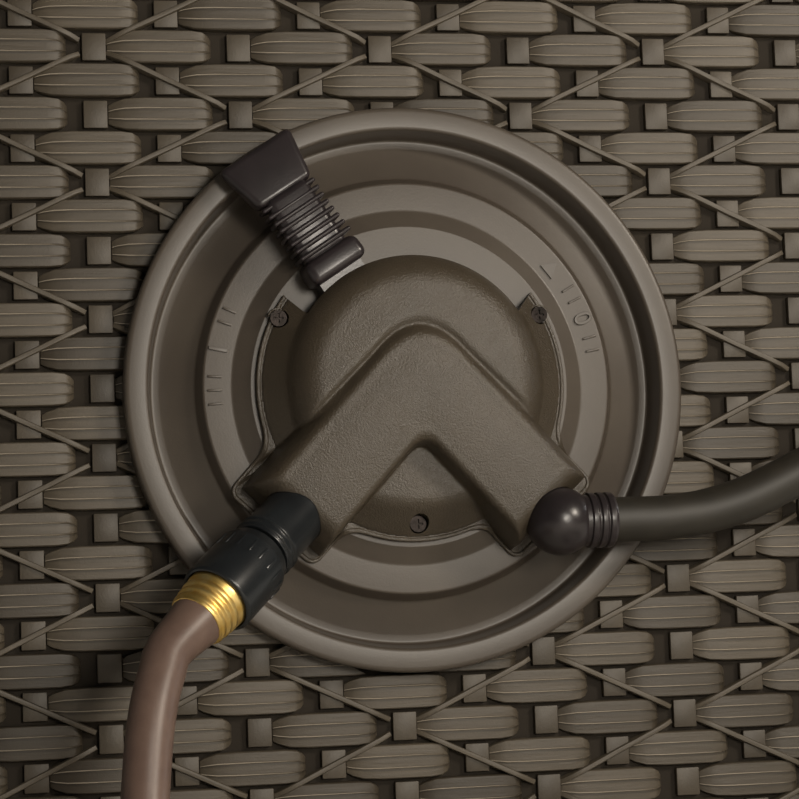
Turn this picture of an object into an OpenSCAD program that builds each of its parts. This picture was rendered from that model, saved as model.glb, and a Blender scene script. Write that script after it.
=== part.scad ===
// Floor-standing garden hose reel in a woven-look resin cabinet.
// A round valve dish on the control side (-Y) takes the supply and drain hoses.
// Its lever sends the water to a small turbine that winds the drum.
// Origin: centre of the base on the floor. +Z up, the control side faces -Y, hose exit at +X.

/* [Cabinet] */
// Width of the control side, across the corner posts
cab_w = 580; // [520:2:640]
// Depth from the control side to the far side
cab_d = 508; // [480:2:560]
// Height of the base tray
base_h = 35; // [30:1:60]
// Height of the woven walls
wall_h = 476; // [450:1:540]
// Height of the lid above the walls
lid_h = 42; // [36:1:60]
// Side of the square corner posts
post = 38; // [36:1:44]
// Radius of the outer corner of the posts, the base and the lid
corner_r = 14; // [8:1:18]
// Wall thickness of the lid
lid_wall = 4; // [3:0.5:5]
// How far the lid's skirt hangs below the top of the walls
skirt_h = 16; // [12:1:20]

/* [Weave] */
// Distance from stake to stake
stake_pitch = 36; // [32:1:42]
// Distance from one row of slats to the next
row_pitch = 17; // [15:0.5:20]
// Sideways shift of the control side's weave, which sets a stake beside the dish centre
weave_shift = -5.4; // [-8:0.2:0]
// Thickness of the wall plate behind the weave
plate = 4; // [3:0.5:4.5]
// How far the slats bulge in front of the plate
bulge = 5.5; // [4:0.5:7]
// Width of a stake
stake_w = 13; // [10:0.5:15]
// How far the stakes stand in front of the plate
stake_out = 3.2; // [2:0.2:3.8]

/* [Valve dish] */
// Height of the dish centre above the floor
dish_z = 278; // [270:1:290]
// Outer radius of the dish rim
rim_r = 140; // [136:1:146]
// Width of the flat rim face
rim_w = 11; // [9:0.5:14]
// How far the rim face stands in front of the weave
rim_out = 14; // [12:0.5:18]
// Wall thickness of the dish
dish_wall = 3.3; // [2.5:0.1:3.6]
// Outer radius of the raised ring
ring_r = 103; // [100:0.5:106]
// Radius of the cover's flange
flange_r = 78; // [76:0.5:80]
// Radius of the domed cover
dome_r = 65; // [63:0.5:67]
// Width of the cover's two pipe arms
arm_w = 45; // [42:0.5:48]
// Slope of the pipe arms below the horizontal
arm_slope = 47.5; // [44:0.5:50]

/* [Lever] */
// Resting angle of the lever, left of the vertical
lever_rest = 33; // [27:1:37]
// Length of the lever from its axis to its tip
lever_len = 138; // [134:1:144]
// Width of the ribbed grip
grip_w = 28; // [25:0.5:31]
// Number of ribs on the grip
grip_ribs = 8; // [5:1:9]
// Radius of the valve spindle
spindle_r = 7; // [6:0.5:9]

/* [Hoses] */
// Outer diameter of the supply hose
supply_d = 21; // [19:0.5:22]
// Outer diameter of the drain hose
drain_d = 22; // [20:0.5:23]
// Radius of the black inlet nut
nut_r = 18; // [17.5:0.5:20]
// Length of the black inlet nut
nut_len = 36; // [30:1:40]
// Visible length of the brass ferrule
ferrule_len = 16; // [14:0.5:20]
// Bore radius of the tap coupling, for a 3/4 inch garden thread
tap_bore_r = 13.3; // [12.5:0.1:14]

/* [Drum] */
// Radius of the drum flanges
drum_r = 190; // [170:2:196]
// Radius of the drum core
core_r = 70; // [60:1:80]
// Room from the walls to the drum flanges, where the gears and the bearings sit
drum_room = 80; // [78:1:100]
// Radius of the fixed hollow axle
axle_r = 12; // [10:0.5:14]
// Teeth on the drum gear
drum_teeth = 60; // [56:1:64]
// Teeth on both pinions
pinion_teeth = 12; // [12:1:13]
// Teeth on the large wheel of the middle gear
wheel_teeth = 48; // [42:1:50]
// Tooth module of the drum gear
drum_module = 2.5; // [2.3:0.1:2.6]
// Tooth module of the turbine stage
turbine_module = 1.25; // [1.2:0.05:1.3]
// Face width of the drum gear
gear_face = 12; // [8:1:14]

/* [Guide] */
// Radius of the guide rods
rod_r = 5; // [4:0.5:6]
// Height of the lower guide rod
rod_z = 320; // [317:1:325]
// Distance between the two guide rods
rod_gap = 42; // [40:1:46]
// Length of the guide carriage along the rods
carriage_w = 64; // [60:1:80]
// Height of the window band in the hose side
window_h = 102; // [96:1:110]

/* [Fits] */
// Radial running clearance of a shaft in its bore
fit = 0.08; // [0.05:0.01:0.1]
// Gap between parts that seat without touching
seat = 0.3; // [0.2:0.05:0.4]

/* [Hidden] */
$fn = 64;

// Walls: crest is the outermost plane of the weave, skin the front of the plate behind it.
half_w = cab_w / 2;
half_d = cab_d / 2;
skin = bulge;
plate_back = bulge + plate;
wall_z = base_h;
top_z = base_h + wall_h;
span_w = cab_w - 2 * post;
span_d = cab_d - 2 * post;
tongue = 4;
groove_fit = 0.2;

// A slat is a flat bow: its chord runs over one stake from gap to gap.
slat_len = 2 * stake_pitch - stake_w - 2;
slat_h = row_pitch - 1.6;
slat_r = (slat_len * slat_len / 4 + bulge * bulge) / (2 * bulge);

// Dish profile, radii from the dish centre and heights in front of the weave's crest.
groove_out = -bulge + seat + dish_wall;
cone_r = ring_r + 1.5;
cone_out = groove_out + 6;
ring_out = rim_out - 2;
deck_out = ring_out + 5;
groove_r = rim_r - rim_w - 4;
panel_cut_r = rim_r - 5.5;
neck_r = 24.5;
neck_fit = 0.5;

// Cover: the dome's top, the arms' top, and the slot that the lever swings in.
flange_t = 3.5;
dome_top = deck_out + 31;
arm_top = deck_out + 34;
slot_top = deck_out + 15;
apex_y = 3;
arm_len = 98;
screw_spots = [[-65, 33.5], [65, 33.5], [0, -68]];
lever_swing = 65;
slot_margin = 25;
arm_edge_r = 13;

// Ports: the inlet leans out of the dish plane, the drain elbow stays in it.
port_turn = 222.5;
port_tilt = 32;
port_x = -66;
port_y = -66;
port_out = 38;
stub_r = 15;
stub_in = 8;
stub_out = 24;
nut_at = 26;
ferrule_at = nut_at + nut_len;
hose_at = ferrule_at + ferrule_len;
port_dir = [
  cos(port_tilt) * cos(port_turn),
  cos(port_tilt) * sin(port_turn),
  sin(port_tilt)
];
function dish_point(p) = [p[0], -half_d - p[2], dish_z + p[1]];
function dish_dir(v) = [v[0], -v[2], v[1]];
supply_dir = dish_dir(port_dir);
supply_exit = dish_point([port_x, port_y, port_out] + port_dir * hose_at);

arm_dir = [cos(arm_slope), -sin(arm_slope)];
elbow_out = 40;
ball_r = 16.5;
elbow_neck_r = 9;
elbow_neck = 20;
cuff_r = 13.4;
cuff_end = 26;
elbow_at = [arm_len * arm_dir[0], apex_y + arm_len * arm_dir[1], elbow_out];
drain_exit = dish_point(elbow_at + [cuff_end, 0, 0]);

// The supply hose bends down to the floor and coils in front of the left corner.
supply_r = supply_d / 2;
supply_coil_x = -284;
supply_coil_y = -479;
supply_turns = 2;
supply_pitch = 24;
supply_outer = 132;
supply_lift = 28;
supply_route = [
  supply_exit + supply_dir * supply_d,
  [-134.5, -354, 138],
  [-138.5, -361, 120],
  [-141, -367, 100],
  [-143.5, -375, 78],
  [-147, -388, 56],
  [-150, -407, 33],
  [supply_coil_x + supply_outer, supply_coil_y + 2 * supply_d, supply_r]
];

// The drain hose leaves to the right, arches past the corner and coils in front of the walls.
drain_r = drain_d / 2;
drain_coil_x = 202;
drain_coil_y = -447;
drain_turns = 1.4;
drain_pitch = 27;
drain_outer = 128;
drain_route = [
  drain_exit + [drain_d, 0, 0],
  [137, -294, 211],
  [160, -295, 217],
  [181, -296, 226],
  [205, -298, 236],
  [240, -301, 242],
  [275, -304, 236],
  [306, -307, 218],
  [328, -309, 191],
  [340, -311, 158],
  [342, -313, 130],
  [341, -315, 105],
  [340, -321, 76],
  [338, -337, 47],
  [335, -361, 25],
  [332, -386, 14],
  [drain_coil_x + drain_outer, drain_coil_y + 2 * drain_d, drain_r]
];

// Drum and gears along Y, all on the dish axis or parallel to it.
drum_len = cab_d - 2 * drum_room;
flange_plate = 6;
front_flange_y = -drum_len / 2 - flange_plate;
gear_y = front_flange_y - gear_face;
drum_pitch_r = drum_teeth * drum_module / 2;
small_pitch_r = pinion_teeth * drum_module / 2;
wheel_pitch_r = wheel_teeth * turbine_module / 2;
turbine_pitch_r = pinion_teeth * turbine_module / 2;
gear_angle = 135;
middle_at = drum_pitch_r + small_pitch_r;
turbine_at = middle_at + wheel_pitch_r + turbine_pitch_r;
wheel_face = 8;
wheel_y = gear_y - 3 - wheel_face;
can_r = 46;
can_wall = 3;
panel_back_y = -half_d + plate_back;
can_back_y = wheel_y - 4;
post_r = 4;
post_seat = 8;
turbine_shaft_r = 3;

function arc_points(c, r, a0, a1, n) =
  [for (i = [0:n]) c + r * [cos(a0 + (a1 - a0) * i / n), sin(a0 + (a1 - a0) * i / n)]];

function round_rect(w, h, r, n = 5) = concat(
  arc_points([w / 2 - r, h / 2 - r], r, 0, 90, n),
  arc_points([-w / 2 + r, h / 2 - r], r, 90, 180, n),
  arc_points([-w / 2 + r, -h / 2 + r], r, 180, 270, n),
  arc_points([w / 2 - r, -h / 2 + r], r, 270, 360, n)
);

// Teeth with straight flanks, thin enough at the pitch circle for a free mesh.
function gear_points(teeth, module_size) = [
  for (i = [0:teeth - 1])
    for (p = [[-0.29, -1.25], [-0.115, 0.85], [0.115, 0.85], [0.29, -1.25]])
      let (r = teeth * module_size / 2 + p[1] * module_size, a = (i + p[0]) * 360 / teeth)
        [r * cos(a), r * sin(a)]
];

// Smooth curve through route points, with its own steps for each span.
function spline_at(p, i, t) =
  let (
    a = i > 0 ? p[i - 1] : 2 * p[0] - p[1],
    b = p[i],
    c = p[i + 1],
    d = i + 2 < len(p) ? p[i + 2] : 2 * p[i + 1] - p[i]
  )
    0.5 * (2 * b + (c - a) * t + (2 * a - 5 * b + 4 * c - d) * t * t
      + (3 * b - a - 3 * c + d) * t * t * t);

function spline(p, steps) = concat(
  [for (i = [0:len(p) - 2]) for (k = [0:steps - 1]) spline_at(p, i, k / steps)],
  [p[len(p) - 1]]
);

function unit(v) = v / norm(v);

function tangent_at(p, i) =
  i == 0 ? unit(p[1] - p[0])
  : i == len(p) - 1 ? unit(p[i] - p[i - 1])
  : unit(unit(p[i + 1] - p[i]) + unit(p[i] - p[i - 1]));

// Side vectors carried along the curve without twist.
function carried(p, start) = [
  for (
    i = 0, n = unit(start - (start * tangent_at(p, 0)) * tangent_at(p, 0));
    i < len(p);
    i = i + 1,
    n = i < len(p) ? unit(n - (n * tangent_at(p, i)) * tangent_at(p, i)) : n
  ) n
];

function ring_points(c, t, n, r, sides) = [
  for (k = [0:sides - 1])
    c + r * (cos(360 * k / sides) * n + sin(360 * k / sides) * cross(t, n))
];

module tube(p, r, sides, start) {
  side = carried(p, start);
  rings = len(p);
  points = [for (i = [0:rings - 1]) each ring_points(p[i], tangent_at(p, i), side[i], r, sides)];
  walls = [
    for (i = [0:rings - 2])
      for (k = [0:sides - 1])
        let (a = i * sides + k, b = i * sides + (k + 1) % sides)
          each [[a, a + sides, b], [b, a + sides, b + sides]]
  ];
  cap_a = [for (k = [1:sides - 2]) [0, k, k + 1]];
  last = (rings - 1) * sides;
  cap_b = [for (k = [1:sides - 2]) [last, last + k + 1, last + k]];
  polyhedron(points, concat(walls, cap_a, cap_b));
}

// Points of a flat coil wound clockwise from above, with a straight diameter at both ends.
function coil_points(x, y, outer, step, turns, r, lift) =
  let (
    n = round(24 * turns),
    body = [
      for (i = [0:n])
        let (
          a = -360 * turns * i / n,
          q = outer - step * turns * i / n,
          s = max(0, (i / n - 0.74) / 0.26)
        )
          [x + q * cos(a), y + q * sin(a), r + lift * s * s * (3 - 2 * s)]
    ],
    last = body[n],
    dir = unit([last[0] - body[n - 1][0], last[1] - body[n - 1][1], 0])
  )
    concat([[x + outer, y + 2 * r, r]], body, [last + dir * 2 * r]);

supply_coil = coil_points(
  supply_coil_x, supply_coil_y, supply_outer, supply_pitch, supply_turns, supply_r, supply_lift
);
drain_coil = coil_points(
  drain_coil_x, drain_coil_y, drain_outer, drain_pitch, drain_turns, drain_r, 0
);
tap_from = supply_coil[len(supply_coil) - 1];
tap_dir = unit(tap_from - supply_coil[len(supply_coil) - 2]);
tap_turn = atan2(tap_dir[1], tap_dir[0]);

// Least gap of a coil to its own other turns, measured between points half a turn or more apart.
function coil_gap(p, d) = min([
  for (i = [0:len(p) - 13]) for (k = [i + 12:len(p) - 1]) norm(p[k] - p[i]) - d
]);
function path_length(p) =
  len(p) < 2 ? 0 : [for (i = [1:len(p) - 1]) norm(p[i] - p[i - 1])]
    * [for (i = [1:len(p) - 1]) 1];

supply_run = concat([supply_exit], spline(supply_route, 2), [supply_coil[0]]);
drain_run = concat([drain_exit], spline(drain_route, 2), [drain_coil[0]]);
echo(
  supply_gap = coil_gap(supply_coil, supply_d), drain_gap = coil_gap(drain_coil, drain_d),
  supply_length = path_length(supply_run) + path_length(supply_coil),
  drain_length = path_length(drain_run) + path_length(drain_coil)
);

// Places a child drawn in the dish plane: x right, y up, z towards the viewer.
module on_dish() {
  translate([0, -half_d, dish_z])
    rotate([90, 0, 0])
      children();
}

// Places a child at a distance from the drum axis, on the line of the gears.
module on_gear_line(distance) {
  rotate([0, 0, -gear_angle])
    translate([distance, 0, 0])
      children();
}

// Places a child drawn along +Z on the drum axis, its base at y = start, towards +Y.
module along_axis(start) {
  translate([0, start, dish_z])
    rotate([-90, 0, 0])
      children();
}

module sector(r, h, a0, a1) {
  linear_extrude(h)
    polygon(concat([[0, 0]], arc_points([0, 0], r, a0, a1, 12)));
}

// One woven wall, drawn flat: x along it, y up from its foot, z out of the weave's crest.
module woven_wall(w, h, shift = 0) {
  columns = floor(w / stake_pitch / 2) * 2;
  rows = floor(h / row_pitch);
  intersection() {
    union() {
      translate([-w / 2 - tongue, 0, -plate_back]) cube([w + 2 * tongue, h, plate]);
      for (i = [1:columns - 1])
        translate([(i - columns / 2) * stake_pitch + shift - stake_w / 2, 0, -skin - 1])
          cube([stake_w, h, stake_out + 1]);
      for (j = [0:rows - 1])
        for (i = [j % 2:2:columns])
          translate([(i - columns / 2) * stake_pitch + shift, (j + 0.5) * row_pitch, 0])
            slat();
    }
    union() {
      translate([-w / 2, 0, -skin - plate]) cube([w, h, skin + plate]);
      translate([-w / 2 - tongue, 0, -plate_back]) cube([w + 2 * tongue, h, plate]);
    }
  }
}

// A bowed slat over one stake, sunk a little into the plate.
module slat() {
  translate([0, slat_h / 2, 0])
    rotate([90, 0, 0])
      linear_extrude(slat_h)
        intersection() {
          translate([0, -slat_r]) circle(slat_r, $fn = 96);
          translate([-slat_len / 2, -skin - 1.2]) square([slat_len, skin + 1.2]);
        }
}

// Stands a flat wall up on the side that faces the given turn about Z, at its distance out.
module wall_side(turn, out, foot) {
  rotate([0, 0, turn])
    translate([0, -out, foot])
      rotate([90, 0, 0])
        children();
}

module base_tray() {
  color("#4a4238")
    difference() {
      linear_extrude(base_h) polygon(round_rect(cab_w, cab_d, corner_r));
      translate([0, 0, 5]) {
        linear_extrude(base_h) polygon(round_rect(span_w, cab_d - 26, 3));
        linear_extrude(base_h) polygon(round_rect(cab_w - 26, span_d, 3));
      }
    }
}

// A corner post, drawn with its outer corner at (-x, -y), grooved for two wall plates.
module corner_post() {
  a = post / 2;
  translate([0, 0, base_h])
    difference() {
      linear_extrude(wall_h)
        polygon(concat(
          arc_points([-a + corner_r, -a + corner_r], corner_r, 180, 270, 6),
          [[a, -a], [a, a], [-a, a]]
        ));
      translate([a - tongue - 1, -a + skin - groove_fit, -1])
        cube([tongue + 2, plate + 2 * groove_fit, wall_h + 2]);
      translate([-a + skin - groove_fit, a - tongue - 1, -1])
        cube([plate + 2 * groove_fit, tongue + 2, wall_h + 2]);
    }
}

module post_at(sx, sy, turn) {
  translate([sx * (half_w - post / 2), sy * (half_d - post / 2), 0])
    rotate([0, 0, turn])
      corner_post();
}

// The posts on the hose side also hold the ends of the guide rods.
module post_with_rods(sy, turn) {
  difference() {
    post_at(1, sy, turn);
    for (z = [rod_z, rod_z + rod_gap])
      translate([rod_x, sy * (half_d - post) - 9, z])
        rotate([-90, 0, 0])
          cylinder(r = rod_r + fit, h = 18);
  }
}

module post_control_rear() {
  color("#544a3e") post_at(-1, -1, 0);
}

module post_control_front() {
  color("#544a3e") post_with_rods(-1, 90);
}

module post_far_front() {
  color("#544a3e") post_with_rods(1, 180);
}

module post_far_rear() {
  color("#544a3e") post_at(-1, 1, 270);
}

module control_panel() {
  color("#5a5246")
    difference() {
      wall_side(0, half_d, wall_z) woven_wall(span_w, wall_h, weave_shift);
      on_dish() {
        translate([0, 0, -skin]) cylinder(r = panel_cut_r, h = skin + 1);
        translate([0, 0, -plate_back - 1]) cylinder(r = neck_r + neck_fit, h = plate + 2);
      }
    }
}

module far_panel() {
  color("#5a5246") wall_side(180, half_d, wall_z) woven_wall(span_w, wall_h);
}

module rear_panel() {
  color("#5a5246") wall_side(270, half_w, wall_z) woven_wall(span_d, wall_h);
}

lower_h = floor((rod_z + rod_gap / 2 - window_h / 2 - wall_z) / row_pitch) * row_pitch;
window_z = wall_z + lower_h;
upper_z = window_z + window_h;

module front_lower_panel() {
  color("#5a5246") wall_side(90, half_w, wall_z) woven_wall(span_d, lower_h);
}

module front_upper_panel() {
  color("#5a5246") wall_side(90, half_w, upper_z) woven_wall(span_d, top_z - upper_z);
}

// Smooth frame of the hose window between the two woven walls of the hose side.
module window_frame() {
  color("#4a4238")
    wall_side(90, half_w, window_z)
      difference() {
        union() {
          translate([-span_d / 2, 0, -plate_back]) cube([span_d, window_h, plate_back]);
          translate([-span_d / 2 - tongue, 0, -plate_back])
            cube([span_d + 2 * tongue, window_h, plate]);
        }
        translate([0, window_h / 2, -plate_back - 1])
          linear_extrude(plate_back + 2)
            polygon(round_rect(span_d - 36, window_h - 28, 10));
      }
}

lid_gap = 1.5;
lid_out = lid_wall + lid_gap;
lid_step = 6;
pin_r = 3;
knuckle_r = 6;
hinge_x = -half_w - knuckle_r - 2;
hinge_z = top_z - 2;
knuckle_y = half_d - 90;
knuckle_w = 36;
bracket_w = 8;
bracket_h = 34;
bracket_gap = 1;

module lid_outline(grow) {
  polygon(round_rect(cab_w + 2 * grow, cab_d + 2 * grow, corner_r + grow));
}

// Places a child drawn along its own Z on the hinge line, centred at the given y.
module on_hinge(y) {
  translate([hinge_x, y, hinge_z])
    rotate([90, 0, 0])
      children();
}

// Lid with a stepped top, skirts on three sides and two knuckles at the rear edge.
module lid_shell() {
  color("#4a4238")
    difference() {
      union() {
        translate([0, 0, top_z - skirt_h])
          linear_extrude(skirt_h + lid_h - 2 * lid_step) lid_outline(lid_out);
        translate([0, 0, top_z + lid_h - 2 * lid_step])
          linear_extrude(lid_step) lid_outline(lid_gap);
        translate([0, 0, top_z + lid_h - lid_step])
          linear_extrude(lid_step) lid_outline(-12);
        for (s = [-1, 1]) {
          on_hinge(s * knuckle_y) cylinder(r = knuckle_r, h = knuckle_w, center = true);
          translate([hinge_x, s * knuckle_y - knuckle_w / 2, top_z + seat])
            cube([knuckle_r + 6, knuckle_w, hinge_z + knuckle_r - top_z - seat]);
        }
      }
      translate([0, 0, top_z - skirt_h - 1])
        linear_extrude(skirt_h + 1 + seat) lid_outline(lid_gap);
      translate([0, 0, top_z]) linear_extrude(lid_h - lid_wall - lid_step)
        lid_outline(-lid_wall);
      difference() {
        translate([-half_w - lid_out - 1, -half_d - lid_gap, top_z - skirt_h - 1])
          cube([lid_out + corner_r, cab_d + 2 * lid_gap, skirt_h + 1 + seat]);
        for (s = [-1, 1])
          on_hinge(s * knuckle_y) cylinder(r = knuckle_r, h = knuckle_w, center = true);
      }
      for (s = [-1, 1]) {
        on_hinge(s * knuckle_y)
          cylinder(r = pin_r + fit, h = knuckle_w + 2, center = true);
        for (e = [-1, 1])
          on_hinge(s * knuckle_y + e * (knuckle_w + bracket_w + bracket_gap) / 2)
            cylinder(r = knuckle_r + 1.5, h = bracket_w + bracket_gap, center = true);
      }
    }
}

module lid_hinge_pins() {
  color("#8a8a88")
    for (s = [-1, 1])
      on_hinge(s * knuckle_y)
        cylinder(r = pin_r, h = knuckle_w + 2 * bracket_w + 2 * bracket_gap, center = true);
}

// Ears on both sides of each knuckle, on plates that stand on the rear wall.
module lid_hinge_brackets() {
  ear_at = (knuckle_w + bracket_w) / 2 + bracket_gap / 2;
  color("#3a342c")
    for (s = [-1, 1])
      for (e = [-1, 1])
        translate([0, s * knuckle_y + e * ear_at, 0])
          difference() {
            union() {
              on_hinge(0) cylinder(r = knuckle_r, h = bracket_w - bracket_gap, center = true);
              translate([hinge_x, -(bracket_w - bracket_gap) / 2, hinge_z - bracket_h])
                cube([-half_w - hinge_x, bracket_w - bracket_gap, bracket_h]);
            }
            on_hinge(0) cylinder(r = pin_r, h = bracket_w + 2, center = true);
          }
}

// Outer and inner outlines of the dish, radius against height in front of the crest.
dish_front = [
  [neck_r + neck_fit, deck_out], [flange_r + 1, deck_out], [flange_r + 10, ring_out + 0.6],
  [ring_r - 3, ring_out], [ring_r - 0.9, ring_out - 0.9], [ring_r, ring_out - 3],
  [cone_r, cone_out], [groove_r - 4, groove_out], [groove_r, groove_out],
  [rim_r - rim_w - 1, rim_out - 1.5], [rim_r - rim_w + 0.5, rim_out],
  [rim_r - 1.5, rim_out], [rim_r, rim_out - 1.5], [rim_r, seat]
];
dish_back = [
  [rim_r - dish_wall, seat], [rim_r - dish_wall, rim_out - dish_wall],
  [rim_r - rim_w + 2.5, rim_out - dish_wall], [groove_r + dish_wall, groove_out - dish_wall],
  [groove_r - 5, groove_out - dish_wall], [cone_r - dish_wall - 1, cone_out - dish_wall],
  [ring_r - dish_wall - 0.5, ring_out - dish_wall], [flange_r + 9, ring_out + 0.6 - dish_wall],
  [flange_r, deck_out - dish_wall], [neck_r + neck_fit, deck_out - dish_wall]
];

module valve_dish() {
  color("#5f574c")
    on_dish()
      difference() {
        rotate_extrude($fn = 180) polygon(concat(dish_front, dish_back));
        for (p = screw_spots)
          translate(p) cylinder(r = 2.2, h = deck_out + 1);
      }
}

// Cross-section of a pipe arm: upright sides and a round-shouldered top, from the deck up.
function arm_section(w, top) = concat(
  [[-w / 2, 0], [w / 2, 0]],
  arc_points([w / 2 - arm_edge_r, top - arm_edge_r], arm_edge_r, 0, 90, 6),
  arc_points([-w / 2 + arm_edge_r, top - arm_edge_r], arm_edge_r, 90, 180, 6)
);

module pipe_arm(w, top, length) {
  rotate([90, 0, 90])
    linear_extrude(length)
      polygon(arm_section(w, top));
}

module arm_pair(w, top, length) {
  translate([0, apex_y, deck_out]) {
    for (a = [180 + arm_slope, -arm_slope])
      rotate([0, 0, a]) pipe_arm(w, top, length);
    rotate_extrude($fn = 96)
      intersection() {
        polygon(arm_section(w, top));
        square([w, top + 1]);
      }
  }
}

// Dome profile: a steep side that rolls over into a low crown.
function dome_profile(r, h) = concat(
  [[0, 0], [r, 0], [r - 0.4, 6]],
  [for (a = [10:10:90]) [(r - 0.4) * pow(cos(a), 0.62), 6 + (h - 6) * sin(a)]]
);

module valve_cover() {
  arm_h = arm_top - deck_out;
  color("#554e44")
    on_dish()
      difference() {
        union() {
          difference() {
            translate([0, 0, deck_out])
              rotate_extrude($fn = 120) polygon(dome_profile(dome_r, dome_top - deck_out));
            translate([0, 0, 20]) arm_pair(arm_w + 14, arm_h, arm_len);
          }
          translate([0, 0, deck_out]) cylinder(r = flange_r, h = flange_t, $fn = 120);
          arm_pair(arm_w, arm_h, arm_len);
          translate([0, -49, deck_out])
            rotate_extrude($fn = 64)
              polygon([[0, 0], [27, 0], [26, 6], [21, 11], [13, 14.5], [0, 16]]);
        }
        translate([0, 0, deck_out - 1])
          sector(flange_r * 2, slot_top - deck_out + 1,
            90 + lever_rest + slot_margin, 90 + lever_rest - lever_swing - slot_margin);
        translate([0, 0, deck_out - 1])
          cylinder(r = lever_w / 2 / sin(slot_margin) + 0.9, h = slot_top - deck_out + 1);
        for (p = screw_spots)
          translate(p) {
            translate([0, 0, deck_out - 1]) cylinder(r = 2.2, h = flange_t + 2);
            translate([0, 0, deck_out + flange_t]) cylinder(r = 5, h = 40);
          }
        translate([0, 0, deck_out - 40]) cylinder(r = 200, h = 40);
        port_frame() translate([0, 0, -stub_in]) cylinder(r = stub_r + fit, h = 80);
        translate(elbow_at) {
          sphere(r = ball_r + seat);
          rotate([0, 0, -arm_slope]) rotate([0, -90, 0])
            cylinder(r = elbow_neck_r + fit, h = elbow_neck);
        }
      }
}

module cover_screws() {
  color("#26221e")
    on_dish()
      for (p = screw_spots)
        translate(p) {
          translate([0, 0, -skin]) cylinder(r = 2, h = deck_out + flange_t + skin);
          translate([0, 0, deck_out + flange_t])
            difference() {
              cylinder(r = 4, h = 2.4);
              for (t = [0, 90])
                rotate([0, 0, t]) translate([-2.4, -0.5, 1.2]) cube([4.8, 1, 2]);
            }
        }
}

// Neck of the valve: it passes through the dish and the wall, and the spindle turns in it.
module valve_body() {
  color("#2e2a26")
    along_axis(-half_d - deck_out + 0.4)
      difference() {
        cylinder(r = neck_r, h = valve_end_y + half_d + deck_out - 0.4);
        translate([0, 0, -1]) cylinder(r = spindle_r + fit, h = 26);
      }
}

hub_r = 19;
lever_w = 24;
lever_low = deck_out + 0.6;
lever_high = slot_top - 1;

module valve_spindle() {
  color("#b8b0a0")
    along_axis(-half_d - lever_high)
      cylinder(r = spindle_r, h = lever_high - deck_out + 20);
}

module on_lever() {
  on_dish()
    rotate([0, 0, lever_rest])
      children();
}

block_at = dome_r + 2;

module lever_arm() {
  color("#1c1a1c")
    on_lever()
      difference() {
        union() {
          translate([0, 0, lever_low]) cylinder(r = hub_r, h = lever_high - lever_low);
          translate([-lever_w / 2, 0, lever_low])
            cube([lever_w, block_at, lever_high - lever_low]);
        }
        translate([0, 0, lever_low - 1])
          cylinder(r = spindle_r, h = lever_high - lever_low + 2);
      }
}

// A slab of the grip, square to the lever, from one distance along it to the next.
module grip_slab(w, low, high, from, to, r) {
  translate([0, from, (low + high) / 2])
    rotate([-90, 0, 0])
      linear_extrude(to - from)
        polygon(round_rect(w, high - low, r));
}

// Block, ribs and flared end: the top slopes back towards the wall from the block outwards.
module lever_grip() {
  rib_pitch = 33.6 / grip_ribs;
  grip_from = block_at + 10.5;
  grip_to = grip_from + 33.6;
  block_top = lever_high + 9;
  color("#1c1a1c")
    on_lever() {
      grip_slab(grip_w + 3, lever_low, block_top, block_at, grip_from - 1, 6);
      grip_slab(grip_w - 4, lever_low + 4, lever_high + 3, grip_from - 2, grip_to + 1, 5);
      for (i = [0:grip_ribs - 1])
        grip_slab(grip_w + 0.3 * i, lever_low + 3, block_top + 0.5 - 0.9 * i,
          grip_from + (i + 0.3) * rib_pitch, grip_from + (i + 0.85) * rib_pitch, 5);
      hull() {
        grip_slab(grip_w + 3, lever_low + 2, lever_high + 2.5, grip_to, grip_to + 2, 5);
        grip_slab(grip_w + 14, lever_low + 3, lever_high - 3, lever_len - 2, lever_len, 3);
      }
    }
}

module port_frame() {
  translate([port_x, port_y, port_out])
    rotate([0, 0, port_turn])
      rotate([0, 90 - port_tilt, 0])
        children();
}

module inlet_stub() {
  color("#1a1c1e")
    on_dish()
      port_frame()
        difference() {
          union() {
            translate([0, 0, -stub_in]) cylinder(r = stub_r, h = stub_in + stub_out);
            translate([0, 0, stub_out]) cylinder(r = 10, h = nut_len - 18);
            for (i = [0:1])
              translate([0, 0, stub_out - 8 + 4 * i]) cylinder(r = stub_r + 1, h = 2);
          }
          translate([0, 0, -stub_in - 1]) cylinder(r = 7, h = 80);
        }
}

module inlet_washer() {
  color("#101010")
    on_dish()
      port_frame()
        translate([0, 0, stub_out + nut_len - 18])
          difference() {
            cylinder(r = 12.5, h = 3);
            translate([0, 0, -1]) cylinder(r = 8, h = 5);
          }
}

// Collar nut that turns on the stub's neck and holds the ferrule's tail.
module inlet_nut() {
  color("#16181a")
    on_dish()
      port_frame()
        difference() {
          union() {
            translate([0, 0, nut_at]) cylinder(r = nut_r - 1.5, h = 5);
            translate([0, 0, nut_at + 5]) cylinder(r1 = nut_r - 1.2, r2 = nut_r, h = nut_len - 5);
            for (i = [0:17])
              rotate([0, 0, i * 20])
                translate([nut_r - 2, -0.8, nut_at + 6]) cube([2, 1.6, 9]);
          }
          translate([0, 0, nut_at - 1]) cylinder(r = 10 + seat, h = nut_len + 2);
          translate([0, 0, nut_at + 10]) cylinder(r = nut_r - 2, h = nut_len);
        }
}

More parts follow.
